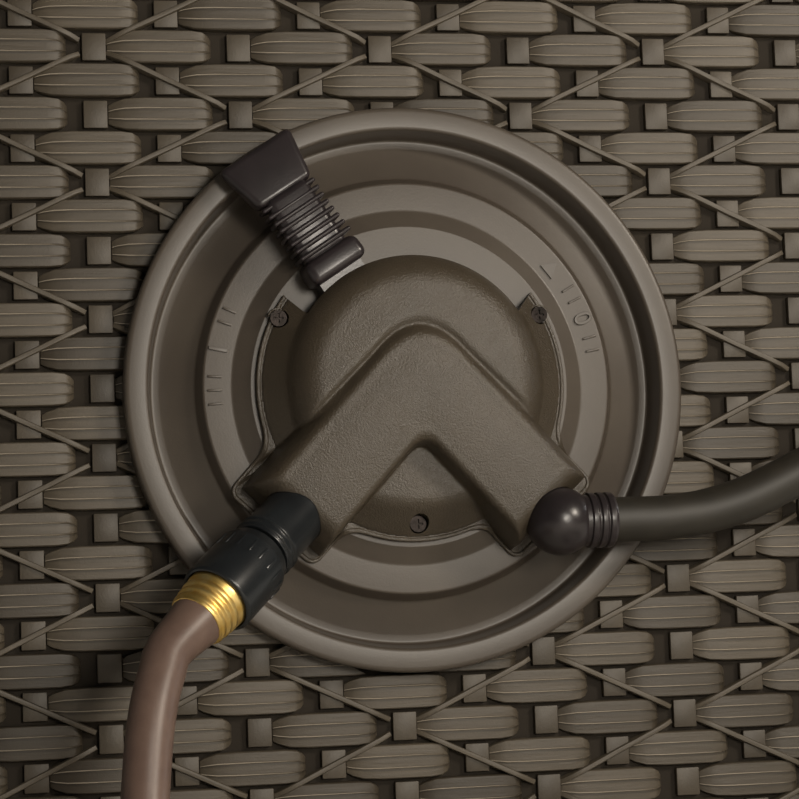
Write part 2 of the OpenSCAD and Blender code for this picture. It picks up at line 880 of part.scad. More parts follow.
// Brass hose end: a tail inside the nut and a ringed ferrule round the hose.
module supply_ferrule() {
  from = stub_out + nut_len - 15;
  color("#e6aa3c")
    on_dish()
      port_frame()
        difference() {
          union() {
            translate([0, 0, from]) cylinder(r = nut_r - 2.4, h = ferrule_at - from);
            translate([0, 0, ferrule_at]) cylinder(r1 = 15.6, r2 = 13.6, h = ferrule_len);
            for (i = [0:3])
              translate([0, 0, ferrule_at + 2 + i * 3.3]) cylinder(r = 15.4 - 0.4 * i, h = 2);
          }
          translate([0, 0, from - 1]) cylinder(r = 7, h = hose_at - from - 4);
        }
}

module supply_hose_run() {
  color("#50423c") tube(supply_run, supply_r, 10, [1, 0, 0]);
}

module supply_hose_coil() {
  color("#50423c") tube(supply_coil, supply_r, 6, [0, 0, 1]);
}

tap_r = 16.8;

module at_tap() {
  translate(tap_from)
    rotate([0, 0, tap_turn])
      rotate([0, 90, 0])
        children();
}

module tap_tail() {
  color("#e6aa3c")
    at_tap() {
      cylinder(r = 13, h = 16);
      translate([0, 0, 16]) cylinder(r = 8, h = 8);
      translate([0, 0, 24]) cylinder(r = 10.5, h = 3);
    }
}

module tap_coupling() {
  color("#e6aa3c")
    at_tap()
      difference() {
        union() {
          translate([0, 0, 16 + seat]) cylinder(r = tap_r, h = 26);
          for (i = [0:11])
            rotate([0, 0, i * 30])
              translate([tap_r - 0.8, -1.5, 20]) cube([1, 3, 18]);
        }
        translate([0, 0, 15]) cylinder(r = 8 + fit, h = 10);
        translate([0, 0, 23.6]) cylinder(r = 11, h = 5);
        translate([0, 0, 27.6]) cylinder(r = tap_bore_r, h = 30);
      }
}

// Elbow from the right arm's line to the horizontal, with a ribbed cuff for the hose.
// Ball and cuff are one turned outline: its closed inside isn't cut, only the neck's mouth.
cuff_ring = 2.6;
elbow_line = concat(
  [[0, -ball_r]],
  [for (a = [-75:15:45]) ball_r * [cos(a), sin(a)]],
  [for (x = [13.5, 18, 22]) each [
    [cuff_r - 1, x], [cuff_r, x], [cuff_r, x + cuff_ring], [cuff_r - 1, x + cuff_ring]
  ]],
  [[cuff_r - 1, cuff_end], [0, cuff_end]]
);

module drain_elbow() {
  color("#1e1a20")
    on_dish()
      translate(elbow_at)
        difference() {
          union() {
            rotate([0, 90, 0]) rotate_extrude() polygon(elbow_line);
            rotate([0, 0, -arm_slope]) rotate([0, -90, 0])
              cylinder(r = elbow_neck_r, h = elbow_neck);
          }
          rotate([0, 0, -arm_slope]) rotate([0, -90, 0])
            translate([0, 0, elbow_neck - 3]) cylinder(r = 6, h = 4);
        }
}

module drain_hose_run() {
  color("#423c30") tube(drain_run, drain_r, 10, [0, 1, 0]);
}

module drain_hose_coil() {
  color("#423c30") tube(drain_coil, drain_r, 6, [0, 0, 1]);
}

// Turbine can, boss for the axle and the web between them, on the back of the control wall.
module motor_housing() {
  depth = can_back_y - panel_back_y;
  boss_r = neck_r + 9.5;
  neck_end = valve_end_y - panel_back_y;
  web_from = boss_r - 5;
  web_to = turbine_at - can_r + 5;
  color("#33302c")
    along_axis(panel_back_y)
      difference() {
        union() {
          difference() {
            union() {
              cylinder(r = boss_r, h = depth);
              rotate([0, 0, -gear_angle])
                translate([web_from, -15, 0]) cube([web_to - web_from, 30, depth - 6]);
              on_gear_line(turbine_at) cylinder(r = can_r, h = depth);
            }
            on_gear_line(turbine_at)
              translate([0, 0, -1]) cylinder(r = can_r - can_wall, h = depth - can_wall + 1);
          }
          on_gear_line(middle_at)
            translate([0, 0, depth - post_seat - 1])
              cylinder(r = post_r + 3.5, h = post_seat + 3);
        }
        translate([0, 0, -1]) cylinder(r = neck_r + neck_fit, h = neck_end + 1 + seat);
        cylinder(r = axle_r + fit, h = depth + 1);
        on_gear_line(turbine_at)
          cylinder(r = turbine_shaft_r + fit, h = depth + 1);
        on_gear_line(middle_at)
          translate([0, 0, depth - post_seat]) cylinder(r = post_r, h = post_seat + 4);
      }
}

// Paddle wheel on its shaft inside the can.
module turbine_wheel() {
  from = 4;
  hub = 11;
  wide = can_back_y - panel_back_y - can_wall - from - post_seat - 2.5;
  color("#c8c4b8")
    along_axis(panel_back_y)
      on_gear_line(turbine_at) {
        translate([0, 0, 1]) cylinder(r = turbine_shaft_r, h = gear_y - panel_back_y - 2);
        translate([0, 0, from]) cylinder(r = hub, h = wide);
        for (i = [0:7])
          rotate([0, 0, 45 * i])
            translate([hub - 1, -1.2, from]) cube([can_r - can_wall - hub - 1, 2.4, wide]);
        translate([0, 0, from + wide / 2 - 1])
          difference() {
            cylinder(r = can_r - can_wall - 4, h = 2);
            translate([0, 0, -1]) cylinder(r = hub - 1, h = 4);
          }
      }
}

module turbine_pinion() {
  color("#d8d4c8")
    along_axis(wheel_y)
      on_gear_line(turbine_at)
        linear_extrude(wheel_face)
          difference() {
            rotate(180 + 180 / pinion_teeth) polygon(gear_points(pinion_teeth, turbine_module));
            circle(turbine_shaft_r);
          }
}

// Large wheel and small pinion in one piece, turning on a fixed post.
module middle_gear() {
  small_at = wheel_face + 1.5;
  small_face = front_flange_y - 1 - wheel_y - small_at;
  color("#e0dccc")
    along_axis(wheel_y)
      on_gear_line(middle_at)
        difference() {
          union() {
            linear_extrude(wheel_face) polygon(gear_points(wheel_teeth, turbine_module));
            cylinder(r = small_pitch_r - 1.25 * drum_module - 1, h = small_at + small_face);
            translate([0, 0, small_at])
              linear_extrude(small_face)
                rotate(180) polygon(gear_points(pinion_teeth, drum_module));
          }
          translate([0, 0, -1]) cylinder(r = post_r + fit, h = small_at + small_face + 2);
        }
}

module gear_post() {
  color("#b0aca4")
    along_axis(can_back_y - post_seat)
      on_gear_line(middle_at)
        cylinder(r = post_r, h = front_flange_y - 0.5 - can_back_y + post_seat);
}

module drum_gear() {
  color("#e0dccc")
    along_axis(gear_y)
      linear_extrude(gear_face)
        difference() {
          rotate(-gear_angle + 180 / drum_teeth) polygon(gear_points(drum_teeth, drum_module));
          circle(drum_pitch_r - 20, $fn = 96);
        }
}

bush_r = axle_r + 4;

// Drum flange with a rolled lip, six windows and ribs on its outer face.
module drum_flange(ribs) {
  difference() {
    union() {
      cylinder(r = drum_r, h = flange_plate, $fn = 120);
      cylinder(r = bush_r + 6, h = flange_plate + 6);
      if (ribs)
        for (i = [0:5])
          rotate([0, 0, 60 * i + 30])
            translate([bush_r + 4, -2, flange_plate - 1]) cube([drum_r - bush_r - 10, 4, 7]);
    }
    for (i = [0:5])
      rotate([0, 0, 60 * i]) translate([drum_r - 62, 0, -1]) cylinder(r = 26, h = 30);
    translate([0, 0, -1]) cylinder(r = bush_r, h = 30);
  }
}

module drum_front_flange() {
  color("#3c3833")
    along_axis(front_flange_y + flange_plate)
      mirror([0, 0, 1]) drum_flange(false);
}

module drum_rear_flange() {
  color("#3c3833")
    along_axis(drum_len / 2) drum_flange(true);
}

module drum_core() {
  color("#3c3833")
    along_axis(-drum_len / 2)
      difference() {
        cylinder(r = core_r, h = drum_len);
        translate([0, 0, -1]) cylinder(r = core_r - 4, h = drum_len + 2);
        translate([0, 0, drum_len - 40])
          rotate([90, 0, 0]) cylinder(r = 9, h = core_r + 5);
      }
}

// Elbow on the drum core where the reeled hose screws on.
module drum_hose_elbow() {
  color("#2a2826")
    translate([0, drum_len / 2 - 40, dish_z]) {
      difference() {
        union() {
          translate([0, 0, core_r - 14]) cylinder(r = 8.8, h = 32);
          translate([0, 0, core_r + 16]) sphere(r = 13);
          translate([0, 0, core_r + 16]) rotate([0, 90, 0]) cylinder(r = 12.8, h = 30);
          translate([14, 0, core_r + 16]) rotate([0, 90, 0]) cylinder(r = 16, h = 5, $fn = 6);
        }
        translate([0, 0, core_r - 15]) cylinder(r = 5, h = 31);
        translate([0, 0, core_r + 16]) rotate([0, 90, 0]) cylinder(r = 9, h = 31);
      }
    }
}

valve_end_y = panel_back_y + 8;

module drum_axle() {
  from = valve_end_y + seat;
  color("#a8a49a")
    along_axis(from)
      difference() {
        cylinder(r = axle_r, h = axle_end_y - from);
        translate([0, 0, -1]) cylinder(r = axle_r - 4, h = axle_end_y - from - 5);
      }
}

bush_len = 16;
bracket_depth = 30;
bracket_side = 90;
axle_end_y = half_d - plate_back - 6;

module axle_bush() {
  difference() {
    cylinder(r = bush_r, h = bush_len);
    translate([0, 0, -1]) cylinder(r = axle_r + fit, h = bush_len + 2);
  }
}

module axle_bush_front() {
  color("#d8d4c8") along_axis(-drum_len / 2 - flange_plate - 4) axle_bush();
}

module axle_bush_rear() {
  color("#d8d4c8") along_axis(drum_len / 2 + flange_plate + 4 - bush_len) axle_bush();
}

// Bearing block for the axle's far end, on the back of the far wall.
module axle_bracket() {
  color("#33302c")
    along_axis(half_d - plate_back - bracket_depth)
      difference() {
        union() {
          cylinder(r = axle_r + 10, h = bracket_depth);
          translate([-bracket_side / 2, -bracket_side / 2, bracket_depth - 5])
            cube([bracket_side, bracket_side, 5]);
          for (i = [0:3])
            rotate([0, 0, 90 * i])
              translate([axle_r + 8, -2.5, bracket_depth - 20])
                cube([bracket_side / 2 - axle_r - 10, 5, 17]);
        }
        translate([0, 0, -1])
          cylinder(r = axle_r + fit, h = axle_end_y - half_d + plate_back + bracket_depth + 1 + seat);
      }
}

rod_x = half_w - plate_back - 14.5;
carriage_t = 24;
roller_r = 6;
roller_y = 17;
hole_w = 2 * (roller_y + roller_r + 1.5);
hole_h = rod_gap - 2 * rod_r - 8;
hole_z = rod_z + rod_gap / 2;
roller_pin_r = 2;
roller_pin = 3;

module guide_rod(z) {
  color("#b0aca4")
    translate([rod_x, -half_d + post - 8, z])
      rotate([-90, 0, 0])
        cylinder(r = rod_r, h = span_d + 16);
}

module guide_rod_lower() {
  guide_rod(rod_z);
}

module guide_rod_upper() {
  guide_rod(rod_z + rod_gap);
}

// Sliding block that leads the hose: it runs on both rods and holds two rollers.
module guide_carriage() {
  color("#2c2a28")
    difference() {
      translate([rod_x, 0, hole_z])
        rotate([90, 0, 90])
          linear_extrude(carriage_t, center = true)
            difference() {
              polygon(round_rect(carriage_w, rod_gap + 24, 8));
              polygon(round_rect(hole_w, hole_h, 2));
            }
      for (z = [rod_z, rod_z + rod_gap])
        translate([rod_x, -carriage_w, z])
          rotate([-90, 0, 0])
            cylinder(r = rod_r + fit, h = 2 * carriage_w);
      for (s = [-1, 1])
        translate([rod_x, s * roller_y, hole_z])
          cylinder(r = roller_pin_r + fit, h = hole_h + 2 * roller_pin + 0.6, center = true);
    }
}

module guide_roller(s) {
  color("#d8d4c8")
    translate([rod_x, s * roller_y, hole_z]) {
      cylinder(r = roller_r, h = hole_h - 2 * seat, center = true);
      cylinder(r = roller_pin_r, h = hole_h + 2 * roller_pin, center = true);
    }
}

module guide_roller_left() {
  guide_roller(-1);
}

module guide_roller_right() {
  guide_roller(1);
}

base_tray();
post_control_rear();
post_control_front();
post_far_front();
post_far_rear();
control_panel();
far_panel();
rear_panel();
front_lower_panel();
front_upper_panel();
window_frame();
lid_shell();
lid_hinge_pins();
lid_hinge_brackets();
valve_dish();
valve_cover();
cover_screws();
valve_body();
valve_spindle();
lever_arm();
lever_grip();
inlet_stub();
inlet_washer();
inlet_nut();
supply_ferrule();
supply_hose_run();
supply_hose_coil();
tap_tail();
tap_coupling();
drain_elbow();
drain_hose_run();
drain_hose_coil();
motor_housing();
turbine_wheel();
turbine_pinion();
middle_gear();
gear_post();
drum_gear();
drum_front_flange();
drum_core();
drum_rear_flange();
drum_hose_elbow();
drum_axle();
axle_bush_front();
axle_bush_rear();
axle_bracket();
guide_rod_lower();
guide_rod_upper();
guide_carriage();
guide_roller_left();
guide_roller_right();
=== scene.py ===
"""A water-driven hose reel cabinet of woven resin, seen from its valve side.

All values are in metres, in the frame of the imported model. Pieces that only the
picture needs are drawn in millimetres in their own frame and scaled when placed.
"""

import math
import random

import bpy
from mathutils import Matrix, Quaternion, Vector


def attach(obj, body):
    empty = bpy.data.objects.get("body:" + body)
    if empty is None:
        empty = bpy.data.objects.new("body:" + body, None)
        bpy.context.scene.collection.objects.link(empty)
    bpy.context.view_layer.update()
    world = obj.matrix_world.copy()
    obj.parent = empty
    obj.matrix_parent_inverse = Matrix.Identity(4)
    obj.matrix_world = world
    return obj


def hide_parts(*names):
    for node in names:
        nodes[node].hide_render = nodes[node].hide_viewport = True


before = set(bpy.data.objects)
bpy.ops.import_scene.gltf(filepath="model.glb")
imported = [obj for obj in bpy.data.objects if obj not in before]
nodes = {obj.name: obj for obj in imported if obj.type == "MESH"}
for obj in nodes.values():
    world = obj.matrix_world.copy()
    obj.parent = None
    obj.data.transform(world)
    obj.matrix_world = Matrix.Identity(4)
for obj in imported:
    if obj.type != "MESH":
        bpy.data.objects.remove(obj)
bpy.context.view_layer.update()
dice = random.Random(7)

MM = 0.001
WALL_Y = -0.254  # outermost plane of the weave on the valve side
DISH_Z = 0.278  # height of the valve and of the drum's axis
APEX_Y = 3  # where the two pipe arms meet, above the dish centre
DECK = 17  # front of the dish's raised middle, from the weave's crest
LEVER_REST = 33  # angle of the lever at rest, to the left of upright

# Frames in millimetres: the dish's own (x right, y up, z to the viewer) and the lever's.
DISH = (
    Matrix.Translation((0, WALL_Y, DISH_Z))
    @ Matrix.Rotation(math.radians(90), 4, "X")
    @ Matrix.Scale(MM, 4)
)
LEVER = DISH @ Matrix.Rotation(math.radians(LEVER_REST), 4, "Z")
PORT = (  # the inlet: z runs out along the supply hose
    DISH
    @ Matrix.Translation((-66, -66, 38))
    @ Matrix.Rotation(math.radians(222.5), 4, "Z")
    @ Matrix.Rotation(math.radians(90 - 32), 4, "Y")
)
ARM_SLOPE, ARM_LEN = 47.5, 98  # the pipe arms' slope below level, and length to the drain's elbow
ELBOW_AT = Vector(
    (
        ARM_LEN * math.cos(math.radians(ARM_SLOPE)),
        APEX_Y - ARM_LEN * math.sin(math.radians(ARM_SLOPE)),
        40,
    )
)
ELBOW = DISH @ Matrix.Translation(ELBOW_AT)


# Modelling helpers


def clear():
    """Back to object mode with nothing selected."""
    if bpy.context.object and bpy.context.object.mode != "OBJECT":
        bpy.ops.object.mode_set(mode="OBJECT")
    bpy.ops.object.select_all(action="DESELECT")


def pick(*objects):
    """Selects these objects only; the first is the active one."""
    clear()
    for thing in objects:
        thing.select_set(True)
    bpy.context.view_layer.objects.active = objects[0]


def edit(piece):
    """To edit mode with everything selected."""
    pick(piece)
    bpy.ops.object.mode_set(mode="EDIT")
    bpy.ops.mesh.select_all(action="SELECT")


def select_verts(piece, test):
    """Selects the vertices in edit mode whose place passes the test."""
    bpy.ops.object.mode_set(mode="OBJECT")
    for vert in piece.data.vertices:
        vert.select = test(vert.co)
    for edge in piece.data.edges:
        edge.select = all(piece.data.vertices[v].select for v in edge.vertices)
    for face in piece.data.polygons:
        face.select = all(piece.data.vertices[v].select for v in face.vertices)
    bpy.ops.object.mode_set(mode="EDIT")


def settle(piece, place):
    """Leaves the piece at the origin, unturned, with its place in its mesh."""
    clear()
    piece.data.transform(place @ piece.matrix_world)
    piece.matrix_world = Matrix()
    return piece


def outwards(piece, merge=0.0001):
    """Merges doubles and points every face outwards."""
    edit(piece)
    bpy.ops.mesh.remove_doubles(threshold=merge)
    bpy.ops.mesh.select_all(action="SELECT")
    bpy.ops.mesh.normals_make_consistent(inside=False)
    clear()


def modify(piece, kind, **settings):
    """Adds a modifier, sets it and applies it."""
    pick(piece)
    modifier = piece.modifiers.new(kind.lower(), kind)
    for key, value in settings.items():
        setattr(modifier, key, value)
    bpy.ops.object.modifier_apply(modifier=modifier.name)
    return piece


def smooth(piece, angle):
    """Smooth shading, but for edges sharper than the angle."""
    pick(piece)
    bpy.ops.object.shade_smooth_by_angle(angle=math.radians(angle))
    return piece


def joined(name, pieces):
    """One piece made of several."""
    pick(*pieces)
    bpy.ops.object.join()
    piece = bpy.context.view_layer.objects.active
    piece.name = name
    piece.data.name = name
    return piece


def copied(piece, place=Matrix()):
    """A copy with its own mesh, moved by a matrix."""
    new = bpy.data.objects.new(piece.name, piece.data.copy())
    bpy.context.scene.collection.objects.link(new)
    new.data.transform(place)
    return new


def ring_of(piece, count):
    """Copies of a piece evenly round its Z axis, the first one left in place."""
    turns = [Matrix.Rotation(math.radians(360 / count * i), 4, "Z") for i in range(1, count)]
    return [copied(piece, turn) for turn in turns]


def eased(corners, steps=4):
    """A line through (x, y) or (x, y, radius) corners, with an arc at each radius."""
    line = []
    for i, corner in enumerate(corners):
        here = Vector(corner[:2])
        radius = corner[2] if len(corner) > 2 else 0
        if not radius or i in (0, len(corners) - 1):
            line.append(tuple(here))
            continue
        before = (Vector(corners[i - 1][:2]) - here).normalized()
        after = (Vector(corners[i + 1][:2]) - here).normalized()
        half = before.angle(after) / 2
        reach = min(
            radius / math.tan(half),
            0.49 * (Vector(corners[i - 1][:2]) - here).length,
            0.49 * (Vector(corners[i + 1][:2]) - here).length,
        )
        start, end = here + before * reach, here + after * reach
        for k in range(steps + 1):
            t = k / steps
            a, b = start.lerp(here, t), here.lerp(end, t)
            line.append(tuple(a.lerp(b, t)))
    return line


def turned(name, corners, sides=96, ends="cap", steps=4):
    """A turned shape: a ring pulled up its Z axis through (radius, height) corners.

    A third value in a corner rounds it. ends is cap for flat ends, point for a closed tip
    at the last ring, or loop for a ring-shaped section.
    """
    line = eased(corners, steps)
    clear()
    bpy.ops.mesh.primitive_circle_add(vertices=sides, radius=line[0][0])
    piece = bpy.context.object
    bpy.ops.object.mode_set(mode="EDIT")
    bpy.ops.mesh.select_all(action="SELECT")
    bpy.ops.transform.translate(value=(0, 0, line[0][1]))
    for (r0, z0), (r1, z1) in zip(line, line[1:]):
        bpy.ops.mesh.extrude_region_move(TRANSFORM_OT_translate={"value": (0, 0, z1 - z0)})
        bpy.ops.transform.resize(value=(r1 / r0, r1 / r0, 1), center_override=(0, 0, 0))
    if ends == "cap":
        bpy.ops.mesh.edge_face_add()
    if ends == "point":
        bpy.ops.mesh.merge(type="CENTER")
    bpy.ops.mesh.select_all(action="DESELECT")
    bpy.ops.mesh.select_non_manifold()
    if ends == "loop":
        bpy.ops.mesh.bridge_edge_loops()
    else:
        bpy.ops.mesh.edge_face_add()
    bpy.ops.mesh.select_all(action="SELECT")
    bpy.ops.mesh.normals_make_consistent(inside=False)
    clear()
    piece.name = name
    return piece


def block(name, size, at=(0, 0, 0), bevel=1.0, segments=3, far=None):
    """A box with rounded edges. far is (axis, scale, move) for the face at that axis's far end."""
    clear()
    bpy.ops.mesh.primitive_cube_add(size=1)
    piece = bpy.context.object
    edit(piece)
    bpy.ops.transform.resize(value=size, center_override=(0, 0, 0))
    if far:
        axis, scale, move = far
        select_verts(piece, lambda co: co[axis] > 0)
        bpy.ops.transform.resize(value=scale, center_override=(0, 0, 0))
        bpy.ops.transform.translate(value=move)
    bpy.ops.mesh.select_all(action="SELECT")
    bpy.ops.transform.translate(value=at)
    clear()
    piece.name = name
    if bevel:
        modify(piece, "BEVEL", width=bevel, segments=segments, limit_method="ANGLE")
    return piece


def slab(name, outline, low, high):
    """A flat piece with a given outline, pulled up from one height to another."""
    clear()
    bpy.ops.mesh.primitive_circle_add(vertices=len(outline), radius=1, fill_type="NGON")
    piece = bpy.context.object
    for vert, (x, y) in zip(piece.data.vertices, outline):
        vert.co = (x, y, low)
    edit(piece)
    bpy.ops.mesh.extrude_region_move(TRANSFORM_OT_translate={"value": (0, 0, high - low)})
    outwards(piece)
    piece.name = name
    return piece


def cut_away(piece, point, normal):
    """Takes off what lies in front of a plane, and closes the cut."""
    edit(piece)
    bpy.ops.mesh.bisect(
        plane_co=point, plane_no=normal, use_fill=True, clear_outer=True, clear_inner=False
    )
    clear()


def drilled(piece, cutter):
    """Takes one piece's shape out of another."""
    modify(piece, "BOOLEAN", object=cutter, operation="DIFFERENCE", solver="MANIFOLD")
    bpy.data.objects.remove(cutter)
    return piece


HARD_EDGE = 32  # degrees between faces from which an edge of a CAD piece is rounded


def softened(node, bevel):
    """A copy of a CAD node with its flat faces made whole and its hard edges rounded."""
    piece = copied(nodes[node])
    piece.name = "soft_" + node
    edit(piece)
    bpy.ops.mesh.remove_doubles(threshold=0.00001)
    bpy.ops.mesh.select_all(action="SELECT")
    bpy.ops.mesh.dissolve_limited(angle_limit=math.radians(1))
    clear()
    limit = math.radians(HARD_EDGE)
    modify(piece, "BEVEL", width=bevel, segments=2, limit_method="ANGLE", angle_limit=limit)
    return smooth(piece, 35)


def finished(piece, body, material, *replaced):
    """Gives a piece its one finish, its body, and the CAD nodes that it stands for."""
    piece.data.materials.clear()
    piece.data.materials.append(material)
    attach(piece, body)
    if replaced:
        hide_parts(*replaced)
    return piece


# Material helpers


def colour(code):
    """Linear RGBA of an sRGB hex value."""
    parts = [int(code[i : i + 2], 16) / 255 for i in (1, 3, 5)]
    return (*[c / 12.92 if c <= 0.04045 else ((c + 0.055) / 1.055) ** 2.4 for c in parts], 1)


def add(tree, kind, settings=None, values=None, links=None, stops=()):
    """Adds a node with its settings, socket values, incoming links and colour stops."""
    node = tree.nodes.new(kind)
    for key, value in (settings or {}).items():
        setattr(node, key, value)
    for key, value in (values or {}).items():
        node.inputs[key].default_value = value
    for key, socket in (links or {}).items():
        tree.links.new(socket, node.inputs[key])
    for i, (position, code) in enumerate(stops):
        element = node.color_ramp.elements[i] if i < 2 else node.color_ramp.elements.new(position)
        element.position = position
        element.color = colour(code)
    return node


def started(name, roughness, base="#808080", metallic=0.0):
    """A new material with its shader and its Object coordinates."""
    material = bpy.data.materials.new(name)
    material.use_nodes = True
    tree = material.node_tree
    shader = tree.nodes["Principled BSDF"]
    shader.inputs["Base Color"].default_value = colour(base)
    shader.inputs["Roughness"].default_value = roughness
    shader.inputs["Metallic"].default_value = metallic
    place = add(tree, "ShaderNodeTexCoord").outputs["Object"]
    return material, tree, shader, place


def drifting(tree, shader, place, dark, light, patch, detail):
    """Lets the colour drift between two tones over patches of a given size in metres."""
    drift = add(
        tree,
        "ShaderNodeTexNoise",
        values={"Scale": 1 / patch, "Detail": detail, "Roughness": 0.6},
        links={"Vector": place},
    ).outputs["Fac"]
    tone = add(
        tree, "ShaderNodeValToRGB", links={"Fac": drift}, stops=[(0.3, dark), (0.7, light)]
    ).outputs["Color"]
    tree.links.new(tone, shader.inputs["Base Color"])


def grained(tree, shader, place, grains):
    """Bumps from (grain in metres, depth in metres, strength) layers, one over the other."""
    normal = None
    for grain, depth, strength in grains:
        height = add(
            tree,
            "ShaderNodeTexNoise",
            values={"Scale": 1 / grain, "Detail": 3.0, "Roughness": 0.55},
            links={"Vector": place},
        ).outputs["Fac"]
        bump = add(
            tree,
            "ShaderNodeBump",
            values={"Strength": strength, "Distance": depth},
            links={"Height": height, **({"Normal": normal} if normal else {})},
        )
        normal = bump.outputs["Normal"]
    tree.links.new(normal, shader.inputs["Normal"])


def moulded(name, dark, light, roughness, grains, patch=0.05):
    """A moulded plastic: one colour that drifts a little between dark and light, and its grain."""
    material, tree, shader, place = started(name, roughness)
    drifting(tree, shader, place, dark, light, patch, 4.0)
    grained(tree, shader, place, grains)
    return material


def metal(name, dark, light, roughness, grain, depth):
    """A metal whose tone drifts over its grain, with fainter bumps of a third of that size."""
    material, tree, shader, place = started(name, roughness, metallic=1.0)
    drifting(tree, shader, place, dark, light, grain, 5.0)
    grained(tree, shader, place, [(grain * 0.3, depth, 0.3)])
    return material


# Across a slat its points' rows are 1/11 of its UV apart. There is a painted highlight on each
# ridge and a painted shade line just under it. Along the slat the painted highlights fade to the
# right.
BLACK, WHITE = "#000000", "#FFFFFF"
RIDGE_HIGHLIGHTS = [
    (0.29, BLACK),
    (0.364, WHITE),
    (0.44, BLACK),
    (0.56, BLACK),
    (0.636, WHITE),
    (0.71, BLACK),
]
RIDGE_SHADES = [
    (0.245, BLACK),
    (0.262, WHITE),
    (0.29, BLACK),
    (0.518, BLACK),
    (0.538, WHITE),
    (0.565, BLACK),
]
HIGHLIGHT_FADING = [(0.02, WHITE), (0.4, WHITE), (0.75, "#404040")]


def wicker(name, dark, light, streak, crest, shade):
    """Extruded strips: each has its own tone and fine streaks along it, with painted highlights on
    its ridges and painted shade under them.
    """
    material, tree, shader, place = started(name, 0.5)
    strip = add(tree, "ShaderNodeAttribute", {"attribute_name": "strip"}).outputs["Fac"]
    flat = add(tree, "ShaderNodeUVMap", {"uv_map": "UVMap"}).outputs["UV"]
    stretched = add(
        tree, "ShaderNodeMapping", values={"Scale": (5, 26, 1)}, links={"Vector": flat}
    ).outputs["Vector"]
    shift = add(
        tree, "ShaderNodeMath", {"operation": "MULTIPLY"}, {1: 80.0}, {0: strip}
    ).outputs[0]
    streaks = add(
        tree,
        "ShaderNodeTexNoise",
        {"noise_dimensions": "4D"},
        {"Scale": 1.0, "Detail": 3.0, "Roughness": 0.6},
        {"Vector": stretched, "W": shift},
    ).outputs["Fac"]
    share = add(
        tree,
        "ShaderNodeMapRange",
        values={"From Min": 0.35, "From Max": 0.75, "To Min": 0.0, "To Max": 0.5},
        links={"Value": streaks},
    ).outputs[0]
    tone = add(
        tree, "ShaderNodeValToRGB", links={"Fac": strip}, stops=[(0.0, dark), (1.0, light)]
    ).outputs["Color"]
    parts = add(tree, "ShaderNodeSeparateXYZ", links={"Vector": flat}).outputs
    ridge_highlight, ridge_shade, highlight_fade = (
        add(tree, "ShaderNodeValToRGB", links={"Fac": parts[axis]}, stops=stops).outputs["Color"]
        for axis, stops in (("Y", RIDGE_HIGHLIGHTS), ("Y", RIDGE_SHADES), ("X", HIGHLIGHT_FADING))
    )
    shade_share = add(
        tree, "ShaderNodeMath", {"operation": "MULTIPLY"}, {1: 0.7}, {0: ridge_shade}
    ).outputs[0]
    highlight_share = add(
        tree, "ShaderNodeMath", {"operation": "MULTIPLY"}, links={0: ridge_highlight, 1: highlight_fade}
    ).outputs[0]
    # Mixed in: the streaks, the painted shade lines under the ridges and the painted highlights on
    # them.
    for factor, other in ((share, streak), (shade_share, shade), (highlight_share, crest)):
        tone = add(
            tree,
            "ShaderNodeMix",
            {"data_type": "RGBA"},
            {7: colour(other)},
            {0: factor, 6: tone},
        ).outputs[2]
    tree.links.new(tone, shader.inputs["Base Color"])
    bump = add(
        tree,
        "ShaderNodeBump",
        values={"Strength": 0.5, "Distance": 0.0004},
        links={"Height": streaks},
    ).outputs["Normal"]
    speckle = add(
        tree, "ShaderNodeTexNoise", values={"Scale": 1400.0, "Detail": 2.0}, links={"Vector": place}
    ).outputs["Fac"]
    fine = add(
        tree,
        "ShaderNodeBump",
        values={"Strength": 0.25, "Distance": 0.0003},
        links={"Height": speckle, "Normal": bump},
    ).outputs["Normal"]
    tree.links.new(fine, shader.inputs["Normal"])
    return material


# Polyethylene wicker, extruded in flat strips: dull, streaked along its length, with painted
# highlights on its ridges and painted shade under them.
WICKER = wicker("polyethylene_wicker", "#3A3329", "#554D41", "#322C22", "#B4AA9B", "#1F1911")
# The same resin behind the strips, darkened as painted shade for the deep gaps between them.
SHADED_WICKER_BACK = moulded("polyethylene_backing_painted_shade", "#1D170F", "#261F15", 0.9, [(0.002, 0.0003, 0.3)])
# Polypropylene, moulded in a lightly spark-eroded tool: smooth, with a soft wide highlight. Its
# grain of about 0.1 mm is drawn at 0.9 mm, so that it shows.
BEZEL = moulded(
    "polypropylene_bezel",
    "#443D36",
    "#4C453D",
    0.4,
    [(0.0009, 0.00012, 0.35), (0.02, 0.0006, 0.08)],
)
# The same plastic in a tool etched with a leather pebble, about a millimetre a grain.
COVER = moulded(
    "polypropylene_pebbled",
    "#3A3329",
    "#463E33",
    0.3,
    [(0.001, 0.0005, 0.7), (0.0005, 0.0002, 0.5)],
)
# The same again with a fine grain, for the frame, the lid and the drum's flanges: duller and
# darker. The grain is drawn at 1.2 mm, so that it shows.
TRIM = moulded(
    "polypropylene_trim",
    "#3E382E",
    "#484136",
    0.5,
    [(0.0012, 0.00015, 0.35), (0.03, 0.0006, 0.1)],
)
# Acetal with a polished tool finish: nearly black, tight bright reflections that waver a little.
BLACK_GLOSS = moulded(
    "acetal_polished", "#16181A", "#212426", 0.27, [(0.012, 0.0004, 0.12)], patch=0.02
)
# The same in a stoned tool: broad soft highlights on nearly black.
BLACK_SATIN = moulded(
    "acetal_satin",
    "#211D1E",
    "#2D2729",
    0.3,
    [(0.0011, 0.00012, 0.35), (0.009, 0.0004, 0.12)],
    patch=0.02,
)
# Glass-filled nylon, moulded: dull and dark. Its fibres' specks are drawn at 1.2 mm to show.
BLACK_MATT = moulded("nylon_matt", "#1C1A1A", "#262322", 0.55, [(0.0012, 0.0002, 0.4)])
